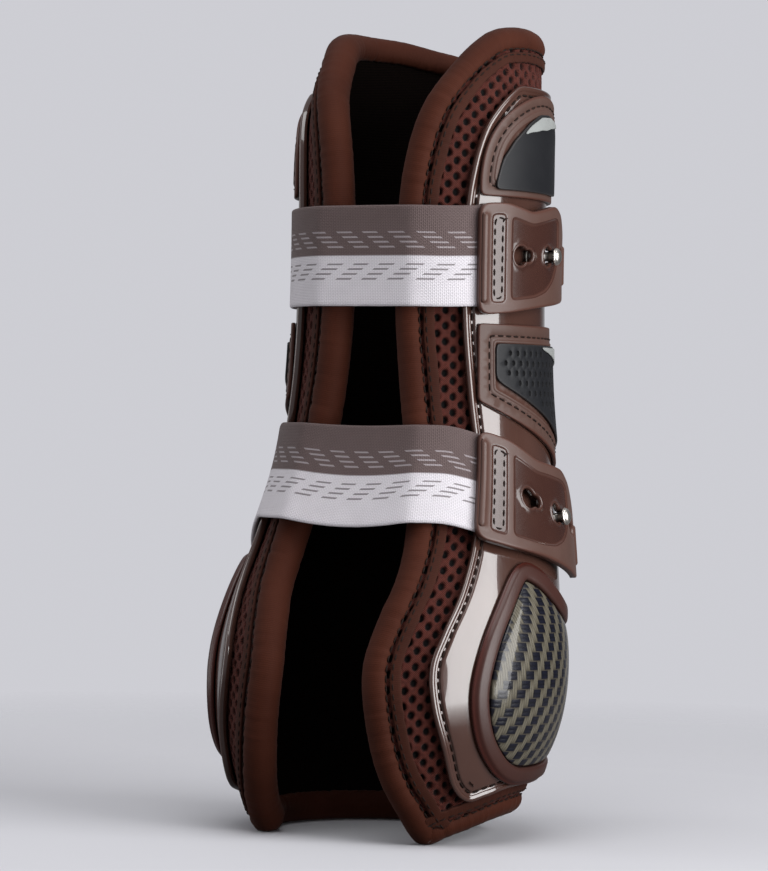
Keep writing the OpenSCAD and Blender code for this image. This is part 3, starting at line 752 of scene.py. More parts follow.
def pad_look():
    """Two-and-two twill of beige and navy tapes under a clear coat; Cloth counts its columns and
    rows."""
    k = Look("strike_pad_weave", roughness=0.4, coat_weight=0.55, coat_roughness=0.07,
             specular_ior_level=0.2)
    col, row = k.math("FLOOR", k.x), k.math("FLOOR", k.y)
    fx, fy = k.math("FRACT", k.x), k.math("FRACT", k.y)
    turn = k.math("FLOORED_MODULO", k.math("SUBTRACT", col, row), 4.0)
    beige = k.math("LESS_THAN", turn, 2.0)
    half = k.math("FLOORED_MODULO", turn, 2.0)
    tape_across = k.math("MULTIPLY", k.math("ADD", fx, half), 0.5)
    up_and_down = k.math("PINGPONG", fy, 0.5)
    across = k.math("PINGPONG", fx, 0.5)
    along_beige = k.math("MULTIPLY", k.math("ADD", k.math("SUBTRACT", 1.0, fy), half), 0.5)
    crown_beige = k.math("MULTIPLY", k.math("SINE", k.math("MULTIPLY", across, 2 * np.pi)),
                         k.math("SINE", k.math("MULTIPLY", along_beige, np.pi)))
    crown_navy = k.math("MULTIPLY", k.math("SINE", k.math("MULTIPLY", up_and_down, 2 * np.pi)),
                        k.math("SINE", k.math("MULTIPLY", tape_across, np.pi)))
    strands = k.noise(0.25, 3, vector=k.uv, stretch=(9, 1, 1))
    cross_strands = k.noise(0.25, 3, vector=k.uv, stretch=(1, 9, 1))
    # painted shade: each tape's colour darkens from its crown towards its edges and towards its
    # ends, where it dips under the crossing tapes
    light = k.mix(k.math("MULTIPLY", k.math("POWER", crown_beige, 0.4),
                         k.fit(strands, 0.2, 0.8, 0.6, 1.0)),
                  (0.035, 0.029, 0.02), (0.15, 0.135, 0.10))
    dark = k.mix(k.math("MULTIPLY", k.math("POWER", crown_navy, 0.5),
                        k.fit(cross_strands, 0.3, 0.8, 0.3, 1.0)),
                 (0.002, 0.0022, 0.004), (0.009, 0.010, 0.022))
    seam = k.math("MULTIPLY", k.math("LESS_THAN", up_and_down, 0.055), 0.75)
    dark = k.mix(seam, dark, (0.07, 0.06, 0.045))
    k.set("base_color", k.mix(beige, dark, light))
    k.bump(k.mix(beige, crown_navy, crown_beige), 0.10)
    coat = k.add("Bump", {"Height": k.noise(3.0, 2), "Distance": 0.06 * MM, "Strength": 1.0})
    k.links.new(coat.outputs[0], k.shader.inputs["Coat Normal"])
    return k.material


def elastic_look():
    """Woven elastic: a dark upper half and a pale lower half with rows of short generic dashes."""
    k = Look("elastic_weave", roughness=0.62, sheen_weight=0.08, sheen_roughness=0.4,
             specular_ior_level=0.25)
    wales = k.wave(k.x, 0.62)
    picks = k.wave(k.y, 0.48)
    shift = k.math("FLOORED_MODULO", k.math("FLOOR", k.math("DIVIDE", k.y, 0.48)), 2.0)
    brick = k.wave(k.math("MULTIPLY_ADD", shift, 0.62, k.x), 1.24)
    tone = k.math("MULTIPLY", k.fit(wales, 0, 1, 0.72, 1), k.fit(brick, 0, 1, 0.82, 1))
    tone = k.math("MULTIPLY", tone, k.fit(k.noise(5, 3), 0.3, 0.7, 0.9, 1.0))
    dark = k.mix(tone, (0.042, 0.027, 0.026), (0.130, 0.092, 0.09))
    pale = k.mix(tone, (0.33, 0.305, 0.335), (0.72, 0.69, 0.73))

    def lines(start, pitch, width):
        """Thin lines along the strap from one height up."""
        part = k.math("FLOORED_MODULO", k.math("SUBTRACT", k.y, start), pitch)
        return k.math("LESS_THAN", part, width)

    def dashes(pitch, share, lean):
        part = k.math("FLOORED_MODULO", k.math("ADD", k.x, k.math("MULTIPLY", k.y, lean)), pitch)
        return k.math("LESS_THAN", part, pitch * share)

    def within(low, high):
        return k.math("MULTIPLY", k.math("GREATER_THAN", k.y, low), k.math("LESS_THAN", k.y, high))

    def hatch(low, high, lean):
        """Slanting rows of short dashes between two heights across the strap."""
        return k.math("MULTIPLY", k.math("MULTIPLY", within(low, high), lines(low, 1.5, 0.55)),
                      dashes(9.5, 0.58, lean))

    marks_dark = hatch(2.4, 7.4, 1.4)
    marks_pale = hatch(-7.4, -2.4, -1.4)
    dark = k.mix(k.math("MULTIPLY", marks_dark, 0.6), dark, (0.42, 0.38, 0.40))
    pale = k.mix(k.math("MULTIPLY", marks_pale, 0.7), pale, (0.07, 0.055, 0.055))
    k.set("base_color", k.mix(k.fit(k.y, -0.25, 0.25), pale, dark))
    height = k.math("ADD", k.math("MULTIPLY", wales, picks), k.math("MULTIPLY", brick, 0.5))
    k.bump(height, 0.11, k.bump(k.noise(0.14, 2), 0.03))
    return k.material


def metal_look(name, colour, roughness, scratch):
    k = Look(name, metallic=1.0)
    turned = k.noise(0.5, 3, stretch=(1, 1, 8))
    k.set("base_color", k.mix(k.fit(k.noise(3, 3), 0.3, 0.7), tuple(0.8 * c for c in colour),
                              colour))
    k.set("roughness", k.fit(turned, 0.3, 0.7, roughness, roughness + scratch))
    k.bump(turned, 0.006)
    return k.material


MESH_COLUMN, MESH_ROW, MESH_HOLE = 2.65, 4.8, 1.08
lining_cloth = lining_look()
foam_cells = foam_look()
spacer_cloth = spacer_look()
binding_cloth = plain_cloth("binding_cloth", (0.037, 0.008, 0.0032), (0.058, 0.0145, 0.0068),
                            0.6, 0.02, 0.75)
tape_cloth = plain_cloth("tape_cloth", (0.028, 0.0068, 0.0034), (0.047, 0.0125, 0.0065), 0.55,
                         0.025, 0.72)
dark_thread = thread_look("thread_dark", (0.004, 0.002, 0.0015), (0.022, 0.011, 0.008))
shell_gloss = shell_look()
overlay_matte = matte_look("overlay_matte", (0.080, 0.045, 0.036), (0.069, 0.037, 0.029),
                           (0.070, 0.026, 0.018), 0.5, shine=0.35)
tab_matte = matte_look("tab_matte", (0.088, 0.048, 0.039), (0.076, 0.040, 0.031),
                       (0.078, 0.031, 0.022),
                       0.46, shine=0.4)
tab_gloss = matte_look("tab_gloss", (0.045, 0.018, 0.013), (0.039, 0.015, 0.011),
                       (0.07, 0.030, 0.022),
                       0.25, depth=0.003, coat=0.55, shine=0.3)
frame_satin = matte_look("frame_satin", (0.050, 0.018, 0.014), (0.042, 0.015, 0.011),
                         (0.055, 0.012, 0.008),
                         0.42, depth=0.012, coat=0.12, shine=0.35)
insert_rubber = matte_look("insert_rubber", (0.012, 0.0125, 0.0145), (0.009, 0.0095, 0.0115),
                           (0.022, 0.021, 0.022), 0.5, depth=0.03, shine=0.22)
# near-black floor of the insert's holes: painted shade in place of the shade deep inside real holes
hole_painted_shade = matte_look("hole_painted_shade", (0.006, 0.006, 0.007), (0.004, 0.004, 0.005),
                        (0.006, 0.006, 0.007),
                        0.8, shine=0.2)
crest_pale = matte_look("crest_pale", (0.30, 0.315, 0.31), (0.26, 0.27, 0.265), (0.24, 0.25, 0.245),
                        0.35)
pad_weave = pad_look()
elastic_weave = elastic_look()
nickel = metal_look("nickel", (0.72, 0.69, 0.64), 0.28, 0.12)
steel = metal_look("washer_steel", (0.55, 0.54, 0.52), 0.35, 0.2)


# ---------- padding ----------

def padding_layer(name, node, look, slot, rings, depth_in, n_u=150, n_w=170):
    verts, faces, uvs, marks = cover_mesh(rings, n_u, n_w, False, depth_in)
    return piece(name, verts, faces, uvs, [look], "boot", slot, [node], marks=marks)


lining = padding_layer("lining_cloth", "inner_lining", lining_cloth, "lining",
                       [(6.6, LINING_OUT - 0.3, 0), (6.9, LINING_OUT, 0), (8, LINING_OUT, 0),
                        (LAYER_INSET, LINING_OUT, 0)], LINING_IN)
foam = padding_layer("foam_padding", "foam_core", foam_cells, "foam",
                     [(3, -3.2, 0), (3.3, -2.3, 0), (4.5, FOAM_OUT - 0.1, 0), (6, FOAM_OUT, 0),
                      (LAYER_INSET, FOAM_OUT, 0)], FOAM_IN, 90, 110)


def pore(places):
    """1 in a pore of the spacer cloth, 0 on its yarns."""
    x, y = np.moveaxis(cloth_uv(places), -1, 0)
    column = np.round(x / MESH_COLUMN)
    found = np.zeros_like(x)
    for step in (-1, 0, 1):
        c = column + step
        dx = x - c * MESH_COLUMN
        shift = (c % 2) * MESH_ROW / 2
        dy = (y - shift + MESH_ROW / 2) % MESH_ROW - MESH_ROW / 2
        d = np.hypot(dx * 1.08, dy * 0.92)
        found = np.maximum(found, ease((MESH_HOLE + 0.2 - d) / 0.4))
    return found


def mesh_strip():
    """The spacer cloth: a fine strip with real pores where it shows, and the plain rest under the
    shell."""
    strip_end, pitch = 24, 0.36
    insets = np.arange(7, strip_end + 0.01, pitch)
    v, side, run = even_path(HALF_EDGE, pitch, 14)
    a, s = inset_place(HALF_EDGE, v[:, None] + 0 * insets, side[:, None] + 0 * insets,
                       insets + 0 * v[:, None])
    places = np.stack([a, s], -1)
    holes = pore(places)
    yarn_lift = 0.06 * np.sin(cloth_uv(places)[..., 0] * 3.1) * np.sin(cloth_uv(places)[...,
                                                                                        1] * 2.3)
    top = on_leg(a, s, -0.1 + yarn_lift - 1.15 * holes)
    low = on_leg(a[:, [-1, 0]], s[:, [-1, 0]], MESH_IN + 0 * a[:, [-1, 0]])
    verts = np.concatenate([top, low, top[:, :1]], 1)
    flat = cloth_uv(places)
    uvs = np.concatenate([flat, flat[:, [-1, 0]], flat[:, :1]], 1)
    # the pore marks also carry the painted shade of the pores into the material
    marks = np.concatenate([holes, 0 * holes[:, :2], holes[:, :1]], 1)
    rows, cols = verts.shape[:2]
    faces = grid_faces(rows, cols)
    plain = cover_mesh([(2.5, -0.35, 0), (3, -0.3, 0)], 80, 100, True, MESH_IN)
    start = rows * cols
    faces += [[i + start for i in f] for f in plain[1]]
    return (np.concatenate([verts.reshape(-1, 3), plain[0]]), faces,
            np.concatenate([uvs.reshape(-1, 2), plain[2]]),
            np.concatenate([marks.ravel(), plain[3]]))


verts, faces, uvs, marks = mesh_strip()
piece("spacer_cloth", verts, faces, uvs, [spacer_cloth], "boot", "spacer_mesh", ["spacer_mesh"],
               marks=marks)

# the roll's section: turns from the outer seam round the edge to the inner seam
ROLL_TURNS = np.radians(np.linspace(31, -211, 26))


def roll_section(run, v, side):
    """Padded roll with soft puckers, deepest at its two seams."""
    puckers = smooth_noise(run, 3.2, 9)
    swell = smooth_noise(run, 25, 140, 6)
    ribs = smooth_noise(run, 1.5, 2.4, 14)
    turn = ROLL_TURNS + 0 * run[:, None]
    near_seam = 1 - np.abs(np.cos((turn + np.pi / 2) * 0.745)) ** 0.5
    grow = (1 + (0.016 * puckers + 0.006 * ribs)[:, None] * (0.4 + 2.2 * near_seam)
            + 0.015 * swell[:, None] - 0.02)
    pinch = np.array([0.55, 0.24, 0.06] + [0] * 20 + [0.06, 0.24, 0.55])
    insets = ROLL_HALF + ROLL_HALF * np.sin(turn) * grow
    depths = ROLL_DEPTH + (ROLL_RISE * grow - pinch) * np.cos(turn)
    wall = 1.0
    back = turn[:, ::-5]
    inner_insets = ROLL_HALF + (ROLL_HALF - wall) * np.sin(back)
    inner_depths = ROLL_DEPTH + (ROLL_RISE - wall - 0.3) * np.cos(back)
    return np.concatenate([insets, inner_insets], 1), np.concatenate([depths, inner_depths], 1)


verts, faces, uvs = swept(HALF_EDGE, 0.5, roll_section, ROLL_HALF)
verts[:, 2] = np.maximum(verts[:, 2], 0)
binding = piece("binding_roll", verts, faces, uvs, [binding_cloth], "boot", "binding",
                ["edge_binding"])


def tape_section(run, v, side):
    outer = smooth_noise(run, 4, 30) * 0.12
    inner = smooth_noise(run, 2.5, 22) * 0.16
    a, b = LAYER_INSET + outer, LAYER_INSET + TAPE_WIDTH + inner
    share = np.array([0, 0, 0.04, 0.12, 0.35, 0.65, 0.88, 0.96, 1, 1])
    height = np.array([0.15, 0.7, 0.9, 0.98, 1.04, 1.04, 0.98, 0.9, 0.7, 0.15])
    wave = 1 + 0.05 * smooth_noise(run, 1.2, 3)[:, None]
    return a[:, None] + (b - a)[:, None] * share, np.where(height > 0.6, height * wave, height)


verts, faces, uvs = swept(HALF_EDGE, 0.5, tape_section, LAYER_INSET + 1)
piece("edge_tape", verts, faces, uvs, [tape_cloth], "boot", "tape", ["binding_tape"])

seam = merge([outline_stitches(HALF_EDGE, 8.15, 0.42, 3.0, 2.4, 0.24),
              outline_stitches(HALF_EDGE, LAYER_INSET + 0.9, 1.08, 3.0, 2.2, 0.2, 0.04)])
piece("binding_stitches", *seam, [dark_thread], "boot", "tape")

# ---------- shell ----------

SHELL_RINGS = [(0, 1.6, 1), (0.02, 2.3, 1), (0.16, 2.62, 1), (0.42, 2.83, 0.8), (0.8, 2.9, 0.5),
               (1.2, 2.83, 0.3), (1.5, 2.62, 0.2), (1.7, 2.3, 0.3), (1.95, 2.24, 0), (2.3, 2.24, 0),
               (2.42, 1.98, 0), (2.55, 1.9, 0), (3.15, 1.9, 0), (3.28, 1.98, 0), (3.42, 2.3, 0),
               (3.65, 2.4, 0), (4.2, 2.4, 0), (5.5, 2.4, 0)]
verts, faces, uvs, marks = cover_mesh(SHELL_RINGS, 260, 280, True, SHELL_IN)
piece("moulded_shell", verts, faces, uvs, [shell_gloss], "boot", "shell", ["outer_shell"],
      marks=marks)


def shell_stitches(inset, depth, period, length, radius):
    v, side, _ = even_path(HALF_EDGE, 0.7, 21)
    places = side_place(v, side, inset, True)
    return stitch_mesh(on_leg(places[:, 0], places[:, 1], depth),
                       outward(places[:, 0], places[:, 1]),
                       period, length, radius)


piece("shell_stitches", *shell_stitches(2.85, 2.0, 3.2, 2.6, 0.29), [dark_thread], "boot", "shell")

# ---------- overlays and inserts ----------

BAND_RADIUS = 40


def wrap_band(x, y, depth):
    return on_leg(180 + np.degrees(x / BAND_RADIUS), y, depth)


def band_loop(angles, lower, upper, softness=10):
    x = np.radians(np.asarray(angles) - 180) * BAND_RADIUS
    low = np.stack([x, slope_at(lower)], 1)
    high = np.stack([x, slope_at(upper)], 1)[::-1]
    return soften(resample(oriented(np.concatenate([low, high])), 0.6), softness)


def both_sides(table, angle):
    table = np.array(table)
    return np.interp(180 - np.abs(np.asarray(angle) - 180), table[:, 0], table[:, 1])


def edge_steps(bottom, top, round_off=0.35):
    """Steps of a moulded edge from its foot to its face."""
    return [(0, bottom, 1), (0, top - round_off, 1), (round_off * 0.3, top - round_off * 0.35, 1),
            (round_off, top, 0.8), (round_off * 2.2, top, 0.1)]


def finish_relief(relief, foot, holes, name, looks, slot, nodes, place, body, depth):
    """Closes a relief's underside and makes its piece."""
    relief.fill(foot, holes, 4.0, depth)
    verts, flat, marks = relief.wrapped(place)
    return piece(name, verts, relief.faces, flat, looks, body, slot, nodes, relief.kinds, marks)


def stitched_line(loop, depth, place, period=3.2, length=2.4, radius=0.27):
    """Stitches once round a loop drawn flat."""
    line = np.concatenate([loop, loop[:1]])
    fine = 0 * line[:, 0] + depth
    points = place(line[:, 0], line[:, 1], fine)
    normals = points - place(line[:, 0], line[:, 1], fine - 1)
    return stitch_mesh(points, normals, period, length, radius)


def overlay(node, loop, stitch_inset, ridge_inset, ridge_width, ridge_rise):
    """Overlay with a stitch line sunk in its border, and a raised ridge inside it. Returns its
    stitches."""
    relief = Relief()
    foot, inner = relief.rings(loop, edge_steps(OVERLAY_IN, OVERLAY_OUT))
    channel = inset_loop(loop, stitch_inset - 0.4)
    edge_ring, floor_ring = relief.rings(channel, [
        (0, OVERLAY_OUT, 0), (0.15, OVERLAY_OUT - 0.2, 0.4), (0.65, OVERLAY_OUT - 0.2, 0.4),
        (0.8, OVERLAY_OUT, 0)])
    relief.fill(inner, [edge_ring], 1.6, OVERLAY_OUT)
    line = inset_loop(loop, ridge_inset)
    low, top = OVERLAY_OUT - 0.05, OVERLAY_OUT + ridge_rise
    outer_ring, inner_ring = relief.rings(line, [
        (0, OVERLAY_OUT, 0.2), (0.25, low + ridge_rise * 0.5, 0.4), (0.4, top - 0.03, 0.3),
        (0.6, top, 0),
        (ridge_width - 0.5, top, 0), (ridge_width - 0.2, top - 0.06, 0.5),
        (ridge_width, low - 0.1, 0.6)])
    relief.fill(floor_ring, [outer_ring], 1.6, OVERLAY_OUT)
    relief.fill(inner_ring, (), 1.6, OVERLAY_OUT - 0.15)
    finish_relief(relief, foot, (), node + "_moulding", [overlay_matte], "overlay", [node],
                  wrap_band,
                  "boot", OVERLAY_IN)
    return stitched_line(inset_loop(loop, stitch_inset), OVERLAY_OUT - 0.12, wrap_band)


def round_back(reach):
    """Angles of a band from one end by the back to the other, closer together at its ends."""
    return 180 - reach * np.cos(np.linspace(0, np.pi, 400))


UPPER_REACH, UPPER_BASE = 126, 196
angles = round_back(UPPER_REACH)
q = np.minimum(np.abs(angles - 180) / UPPER_REACH, 0.998)
tops = UPPER_BASE + (36 - 17 * ease(1 - q / 0.8)) * (1 - q ** 4) ** 0.35
upper_loop = band_loop(angles, UPPER_BASE + 0 * angles, tops)
stitches = [overlay("upper_overlay", upper_loop, 3.0, 4.1, 2.2, 0.35)]

MIDDLE_REACH, MIDDLE_TOP = 126, 157
MIDDLE_LOWER = [[52, 134], [56, 132.5], [118, 114], [150, 107], [180, 105]]
angles = round_back(MIDDLE_REACH)
middle_loop = band_loop(angles, both_sides(MIDDLE_LOWER, angles), MIDDLE_TOP + 0 * angles, 4)
stitches.append(overlay("middle_overlay", middle_loop, 3.7, 4.7, 1.3, 0.3))
piece("overlay_stitches", *merge(stitches), [dark_thread], "boot", "overlay")

BADGE = np.array([[61, 200], [64, 207], [71, 213.5], [80, 219], [88, 222], [97, 222.5], [105, 221],
                  [109, 217], [112, 202]])
BADGE_LOW = 198


def plate_relief(name, loop, bottom, top, look, slot, nodes, round_off=0.25, dome=0.0):
    relief = Relief()
    foot, inner = relief.rings(loop, edge_steps(bottom, top, round_off))
    middle = loop.mean(0)
    reach = np.abs(loop - middle).max(0)

    def crown(p):
        return top + dome * np.maximum(1 - (((p - middle) / reach) ** 2).sum(-1), 0)

    relief.fill(inner, (), 1.4, crown)
    finish_relief(relief, foot, (), name, [look], slot, nodes, wrap_band, "boot", bottom)


badge_loop = band_loop(BADGE[:, 0], BADGE_LOW + 0 * BADGE[:, 0], BADGE[:, 1], 6)
plate_relief("badge_plate", badge_loop, INSERT_IN, INSERT_OUT, insert_rubber, "insert",
             ["badge_insert"])
angles = np.linspace(76, 106, 60)
upper = np.interp(angles, BADGE[:, 0], BADGE[:, 1]) - 0.8
lower = upper - 0.6 - 3.4 * np.sin(np.linspace(0, np.pi, 60))
plate_relief("badge_crescent_plate", band_loop(angles, lower, upper, 3), CREST_IN, CREST_OUT,
             crest_pale,
             "crest", ["badge_crescent"], 0.12)

INSERT_TOP, INSERT_REACH = 151, 118
INSERT_LOWER = [[62, 140], [66, 138], [118, 121], [150, 113.5], [180, 111.5]]
angles = round_back(INSERT_REACH)
insert_loop = band_loop(angles, both_sides(INSERT_LOWER, angles), INSERT_TOP + 0 * angles, 8)
CREST_REACH = 88
crest_angles = np.linspace(180 - CREST_REACH, 180 + CREST_REACH, 200)
crest_low = INSERT_TOP - 1.2 - 9 * np.cos(np.radians((crest_angles - 180) * 90 / CREST_REACH))
crest_loop = band_loop(crest_angles, crest_low, INSERT_TOP - 0.6 + 0 * crest_angles, 3)

relief = Relief()
foot, inner = relief.rings(insert_loop, edge_steps(INSERT_IN, INSERT_OUT, 0.25))
HOLE_PITCH = 3.1
xs = np.arange(-90, 90, HOLE_PITCH)
ys = np.arange(slope_at(105), slope_at(155), HOLE_PITCH)
gx, gy = np.meshgrid(xs, ys)
gx = gx + ((-1.3 * np.arange(len(ys))) % HOLE_PITCH)[:, None]
centres = np.stack([gx.ravel(), gy.ravel()], 1)
border = inset_loop(insert_loop, 2.4)
free = inside(centres, border, np.roll(border, -1, 0))
free &= ~inside(centres, crest_loop,
                np.roll(crest_loop, -1, 0)) & (nearest(centres, crest_loop) > 1.5)
turn = np.radians(np.arange(0, 360, 30))
hole_rings = []
for centre in centres[free]:
    oval = centre + np.stack([0.58 * np.cos(turn), 0.8 * np.sin(turn)], 1)
    rim_ring, floor_ring = relief.rings(oval, [(-0.14, INSERT_OUT, 0), (0, INSERT_OUT - 0.1, 0),
                                               (0.05, INSERT_IN + 0.15, 0)], 1)
    hole_rings.append(rim_ring)
    # each hole's floor takes the near-black painted-shade material
    relief.faces.append(floor_ring.tolist())
    relief.kinds.append(1)
relief.fill(inner, hole_rings, 1.5, INSERT_OUT)
finish_relief(relief, foot, (), "perforated_insert_rubber", [insert_rubber, hole_painted_shade], "insert",
              ["perforated_insert"], wrap_band, "boot", INSERT_IN)
plate_relief("insert_crest_plate", crest_loop, CREST_IN, CREST_OUT, crest_pale, "crest",
             ["insert_crest"],
             0.12)

# ---------- strike pad ----------

FRAME_WIDTH = 5.5
FRAME_SECTION = np.array([[0, OVERLAY_IN], [0, 3.5], [0.12, 3.78], [0.45, 3.95], [0.85, 4.1],
                          [1.2, 4.55],
                          [1.6, 4.82], [2.1, 4.9], [3.2, 4.93], [4.3, 4.9], [4.9, 4.78], [5.3, 4.5],
                          [FRAME_WIDTH, 4.1], [FRAME_WIDTH, OVERLAY_IN]])
verts, faces, uvs = swept(PAD_EDGE, 0.8, lambda run, v, side: tuple(
    np.broadcast_to(FRAME_SECTION[:, k], (len(run), len(FRAME_SECTION))) for k in (0, 1)), 3)
marks = np.tile(np.append([1, 1, 1, 1, 0.8, 0.5, 0.1] + [0] * 7, 1),
                len(verts) // (len(FRAME_SECTION) + 1))
piece("strike_pad_frame_rim", verts, faces, uvs, [frame_satin], "boot", "overlay",
      ["strike_pad_frame"],
      marks=marks)

PAD_COLUMNS, PAD_ROWS, PAD_BULGE, NEAR_FRONT = 240, 70, 2.5, 0.02
inset = FRAME_WIDTH + 0.5
last = len(PAD_EDGE) - 1
t = np.cos(np.linspace(0, np.pi, PAD_COLUMNS + 1))
side = np.where(t >= 0, 1, -1)
k = 1 - (1 - NEAR_FRONT) * np.abs(t)
low_ends = np.stack(inset_place(PAD_EDGE, PAD_FRONT * (1 - k), side, inset), -1)
high_ends = np.stack(inset_place(PAD_EDGE, PAD_FRONT + (last - PAD_FRONT) * k, side, inset), -1)
share = (1 - np.cos(np.linspace(0, np.pi, PAD_ROWS + 1))) / 2
places = low_ends + (high_ends - low_ends) * share[:, None, None]
rise = (np.sin(np.linspace(0, np.pi, PAD_COLUMNS + 1)) * np.sin(np.pi * share)[:, None]) ** 0.55
dome = on_leg(places[..., 0], places[..., 1], OVERLAY_OUT - 0.2 + (PAD_BULGE + 0.1) * rise)
under = on_leg(places[..., 0], places[..., 1], OVERLAY_IN + 0.3 + 0 * rise)
arc = np.where(places[..., 0] > 180, -1, 1) * np.radians(180 - np.abs(places[..., 0] - 180)) * 52
down = places[..., 1] - slope_at(45)
weave = np.stack([(arc + down ** 2 / 72) / 1.75, down / 2.6 + 0.15 * rise], -1)
verts, faces = slab(dome, under)
piece("strike_pad_weave_plate", verts, faces, np.concatenate([weave.reshape(-1, 2)] * 2),
      [pad_weave],
      "boot", "strike_pad", ["strike_pad"])

# ---------- straps ----------

BODIES = {UPPER: "upper", LOWER: "lower"}
ELASTIC_START, ELASTIC_END = -93, 63


def elastic_strap(level):
    """Woven strap that pulls straight across the open front, with rounded edges and picots."""
    half = 23 if level == UPPER else 27
    angles = np.arange(ELASTIC_START, ELASTIC_END + 0.01, 0.35)
    wide = STRAP_WIDTH / 2
    offsets = np.concatenate([[-wide - 0.15, -wide, -wide + 0.25],
                              np.linspace(-wide + 0.6, wide - 0.6, 60),
                              [wide - 0.25, wide, wide + 0.15]])
    picot = np.zeros(len(offsets))
    picot[[0, 1, -2, -1]] = [-1, -0.6, 0.6, 1]
    thin = np.ones(len(offsets))
    thin[[0, 1, 2, -3, -2, -1]] = [0.15, 0.55, 0.85, 0.85, 0.55, 0.15]
    a = angles[:, None] + 0 * offsets
    middle = slope_at(strap_height(level, angles))
    run = np.radians(angles) * (station(middle)[:, 1] + STRAP_OUT)
    y = offsets + picot * 0.16 * np.sin(2 * np.pi * run / 1.45)[:, None]
    s = middle[:, None] + y

    def at(depth):
        r = station(s)[..., 1] + depth
        pulled = depth - r * (1 - np.cos(np.radians(half)) / np.cos(np.radians(a)))
        points = on_leg(a, s, np.where(np.abs(a) < half, pulled, depth))
        for _ in range(60):
            points[1:-1] = points[1:-1] / 2 + (points[:-2] + points[2:]) / 4
        return points

    centre = (STRAP_IN + STRAP_OUT) / 2
    thick = (STRAP_OUT - STRAP_IN) / 2
    ripple = 0.03 * np.sin(2 * np.pi * run / 5.3)[:, None] * np.abs(offsets / wide) ** 3
    outer = at(centre + thick * thin + ripple)
    inner = at(centre - thick * thin + ripple)
    verts, faces = slab(outer, inner)
    uv = np.stack([run[:, None] + 0 * y, y], -1).reshape(-1, 2)
    name = BODIES[level]
    strap = piece(name + "_strap_elastic", verts, faces, np.concatenate([uv, uv]), [elastic_weave],
                  None,
                  "elastic", [name + "_elastic"])
    start, end = (on_leg(angle, slope_at(strap_height(level, angle)),
                         STRAP_OUT) * MM for angle in (5, 50))
    tuple(start)
    tuple(end)
    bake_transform(strap)


def patch(level):
    """Sewn patch that holds the strap's end."""
    middle = float(slope_at(strap_height(level, ANCHOR_ANGLE)))
    half = STRAP_WIDTH / 2 + 1
    radius = station(middle)[1] + STRAP_OUT
    width = np.radians(20) * radius
    corners = np.array([[0, -half], [width, -half], [width, half], [0, half]])
    loop = soften(resample(corners, 0.6), 8)

    def place(x, y, depth):
        return on_leg(ANCHOR_ANGLE - 22 + np.degrees(x / radius), middle + y, depth)

    relief = Relief()
    bottom, top = SHELL_OUT + 0.3, STRAP_OUT + 0.5
    foot, inner = relief.rings(loop, edge_steps(bottom, top, 0.4) + [
        (1.9, top, 0), (2.05, top - 0.2, 0.3), (2.55, top - 0.2, 0.3), (2.7, top, 0)])
    relief.fill(inner, (), 1.5, top)
    name = BODIES[level]
    finish_relief(relief, foot, (), name + "_anchor_moulding", [overlay_matte], "overlay",
                  [name + "_anchor_patch"], place, "boot", bottom)
    piece(name + "_anchor_stitches", *stitched_line(inset_loop(loop, 2.3), top - 0.1, place),
          [dark_thread],
          "boot", "overlay")


TAB_UPPER_EDGE = np.array([[52, 14.5], [54, 16.2], [66, 16.2], [80, 13.4], [92, 14.8], [101, 15.8],
                           [110, 13.5], [118, 8], [124, 5]])
TAB_LOWER_EDGE = np.array([[52, -16], [54, -18], [66, -17.6], [85, -16], [105, -15], [118, -14.2],
                           [124, -12]])
TAB_START, TAB_END = 52, 124
WIDE, NARROW = 6, 3.8
KEYHOLE_PITCH = 15


def keyhole_loop(centre):
    """Outline of a keyhole, its narrow end at the centre and its wide end towards the strap."""
    offset = (WIDE + NARROW) / 2 - 1.1
    theta = np.radians(np.arange(0, 360, 6))
    ray = np.stack([np.cos(theta), np.sin(theta)], 1)
    reach = np.zeros(len(theta))
    for x, r in ((-offset / 2, WIDE / 2), (offset / 2, NARROW / 2)):
        along = ray[:, 0] * x
        inner = r * r - x * x + along ** 2
        reach = np.maximum(reach, np.where(inner >= 0, along + np.sqrt(np.maximum(inner, 0)), 0))
    neck = (NARROW - 0.6) / 2
    slot_reach = np.minimum(neck / np.maximum(np.abs(ray[:, 1]), 1e-6),
                            offset / 2 / np.maximum(np.abs(ray[:, 0]), 1e-6))
    reach = np.maximum(reach, slot_reach)
    return soften(resample(centre + [-offset / 2, 0] + ray * reach[:, None], 0.45), 2)


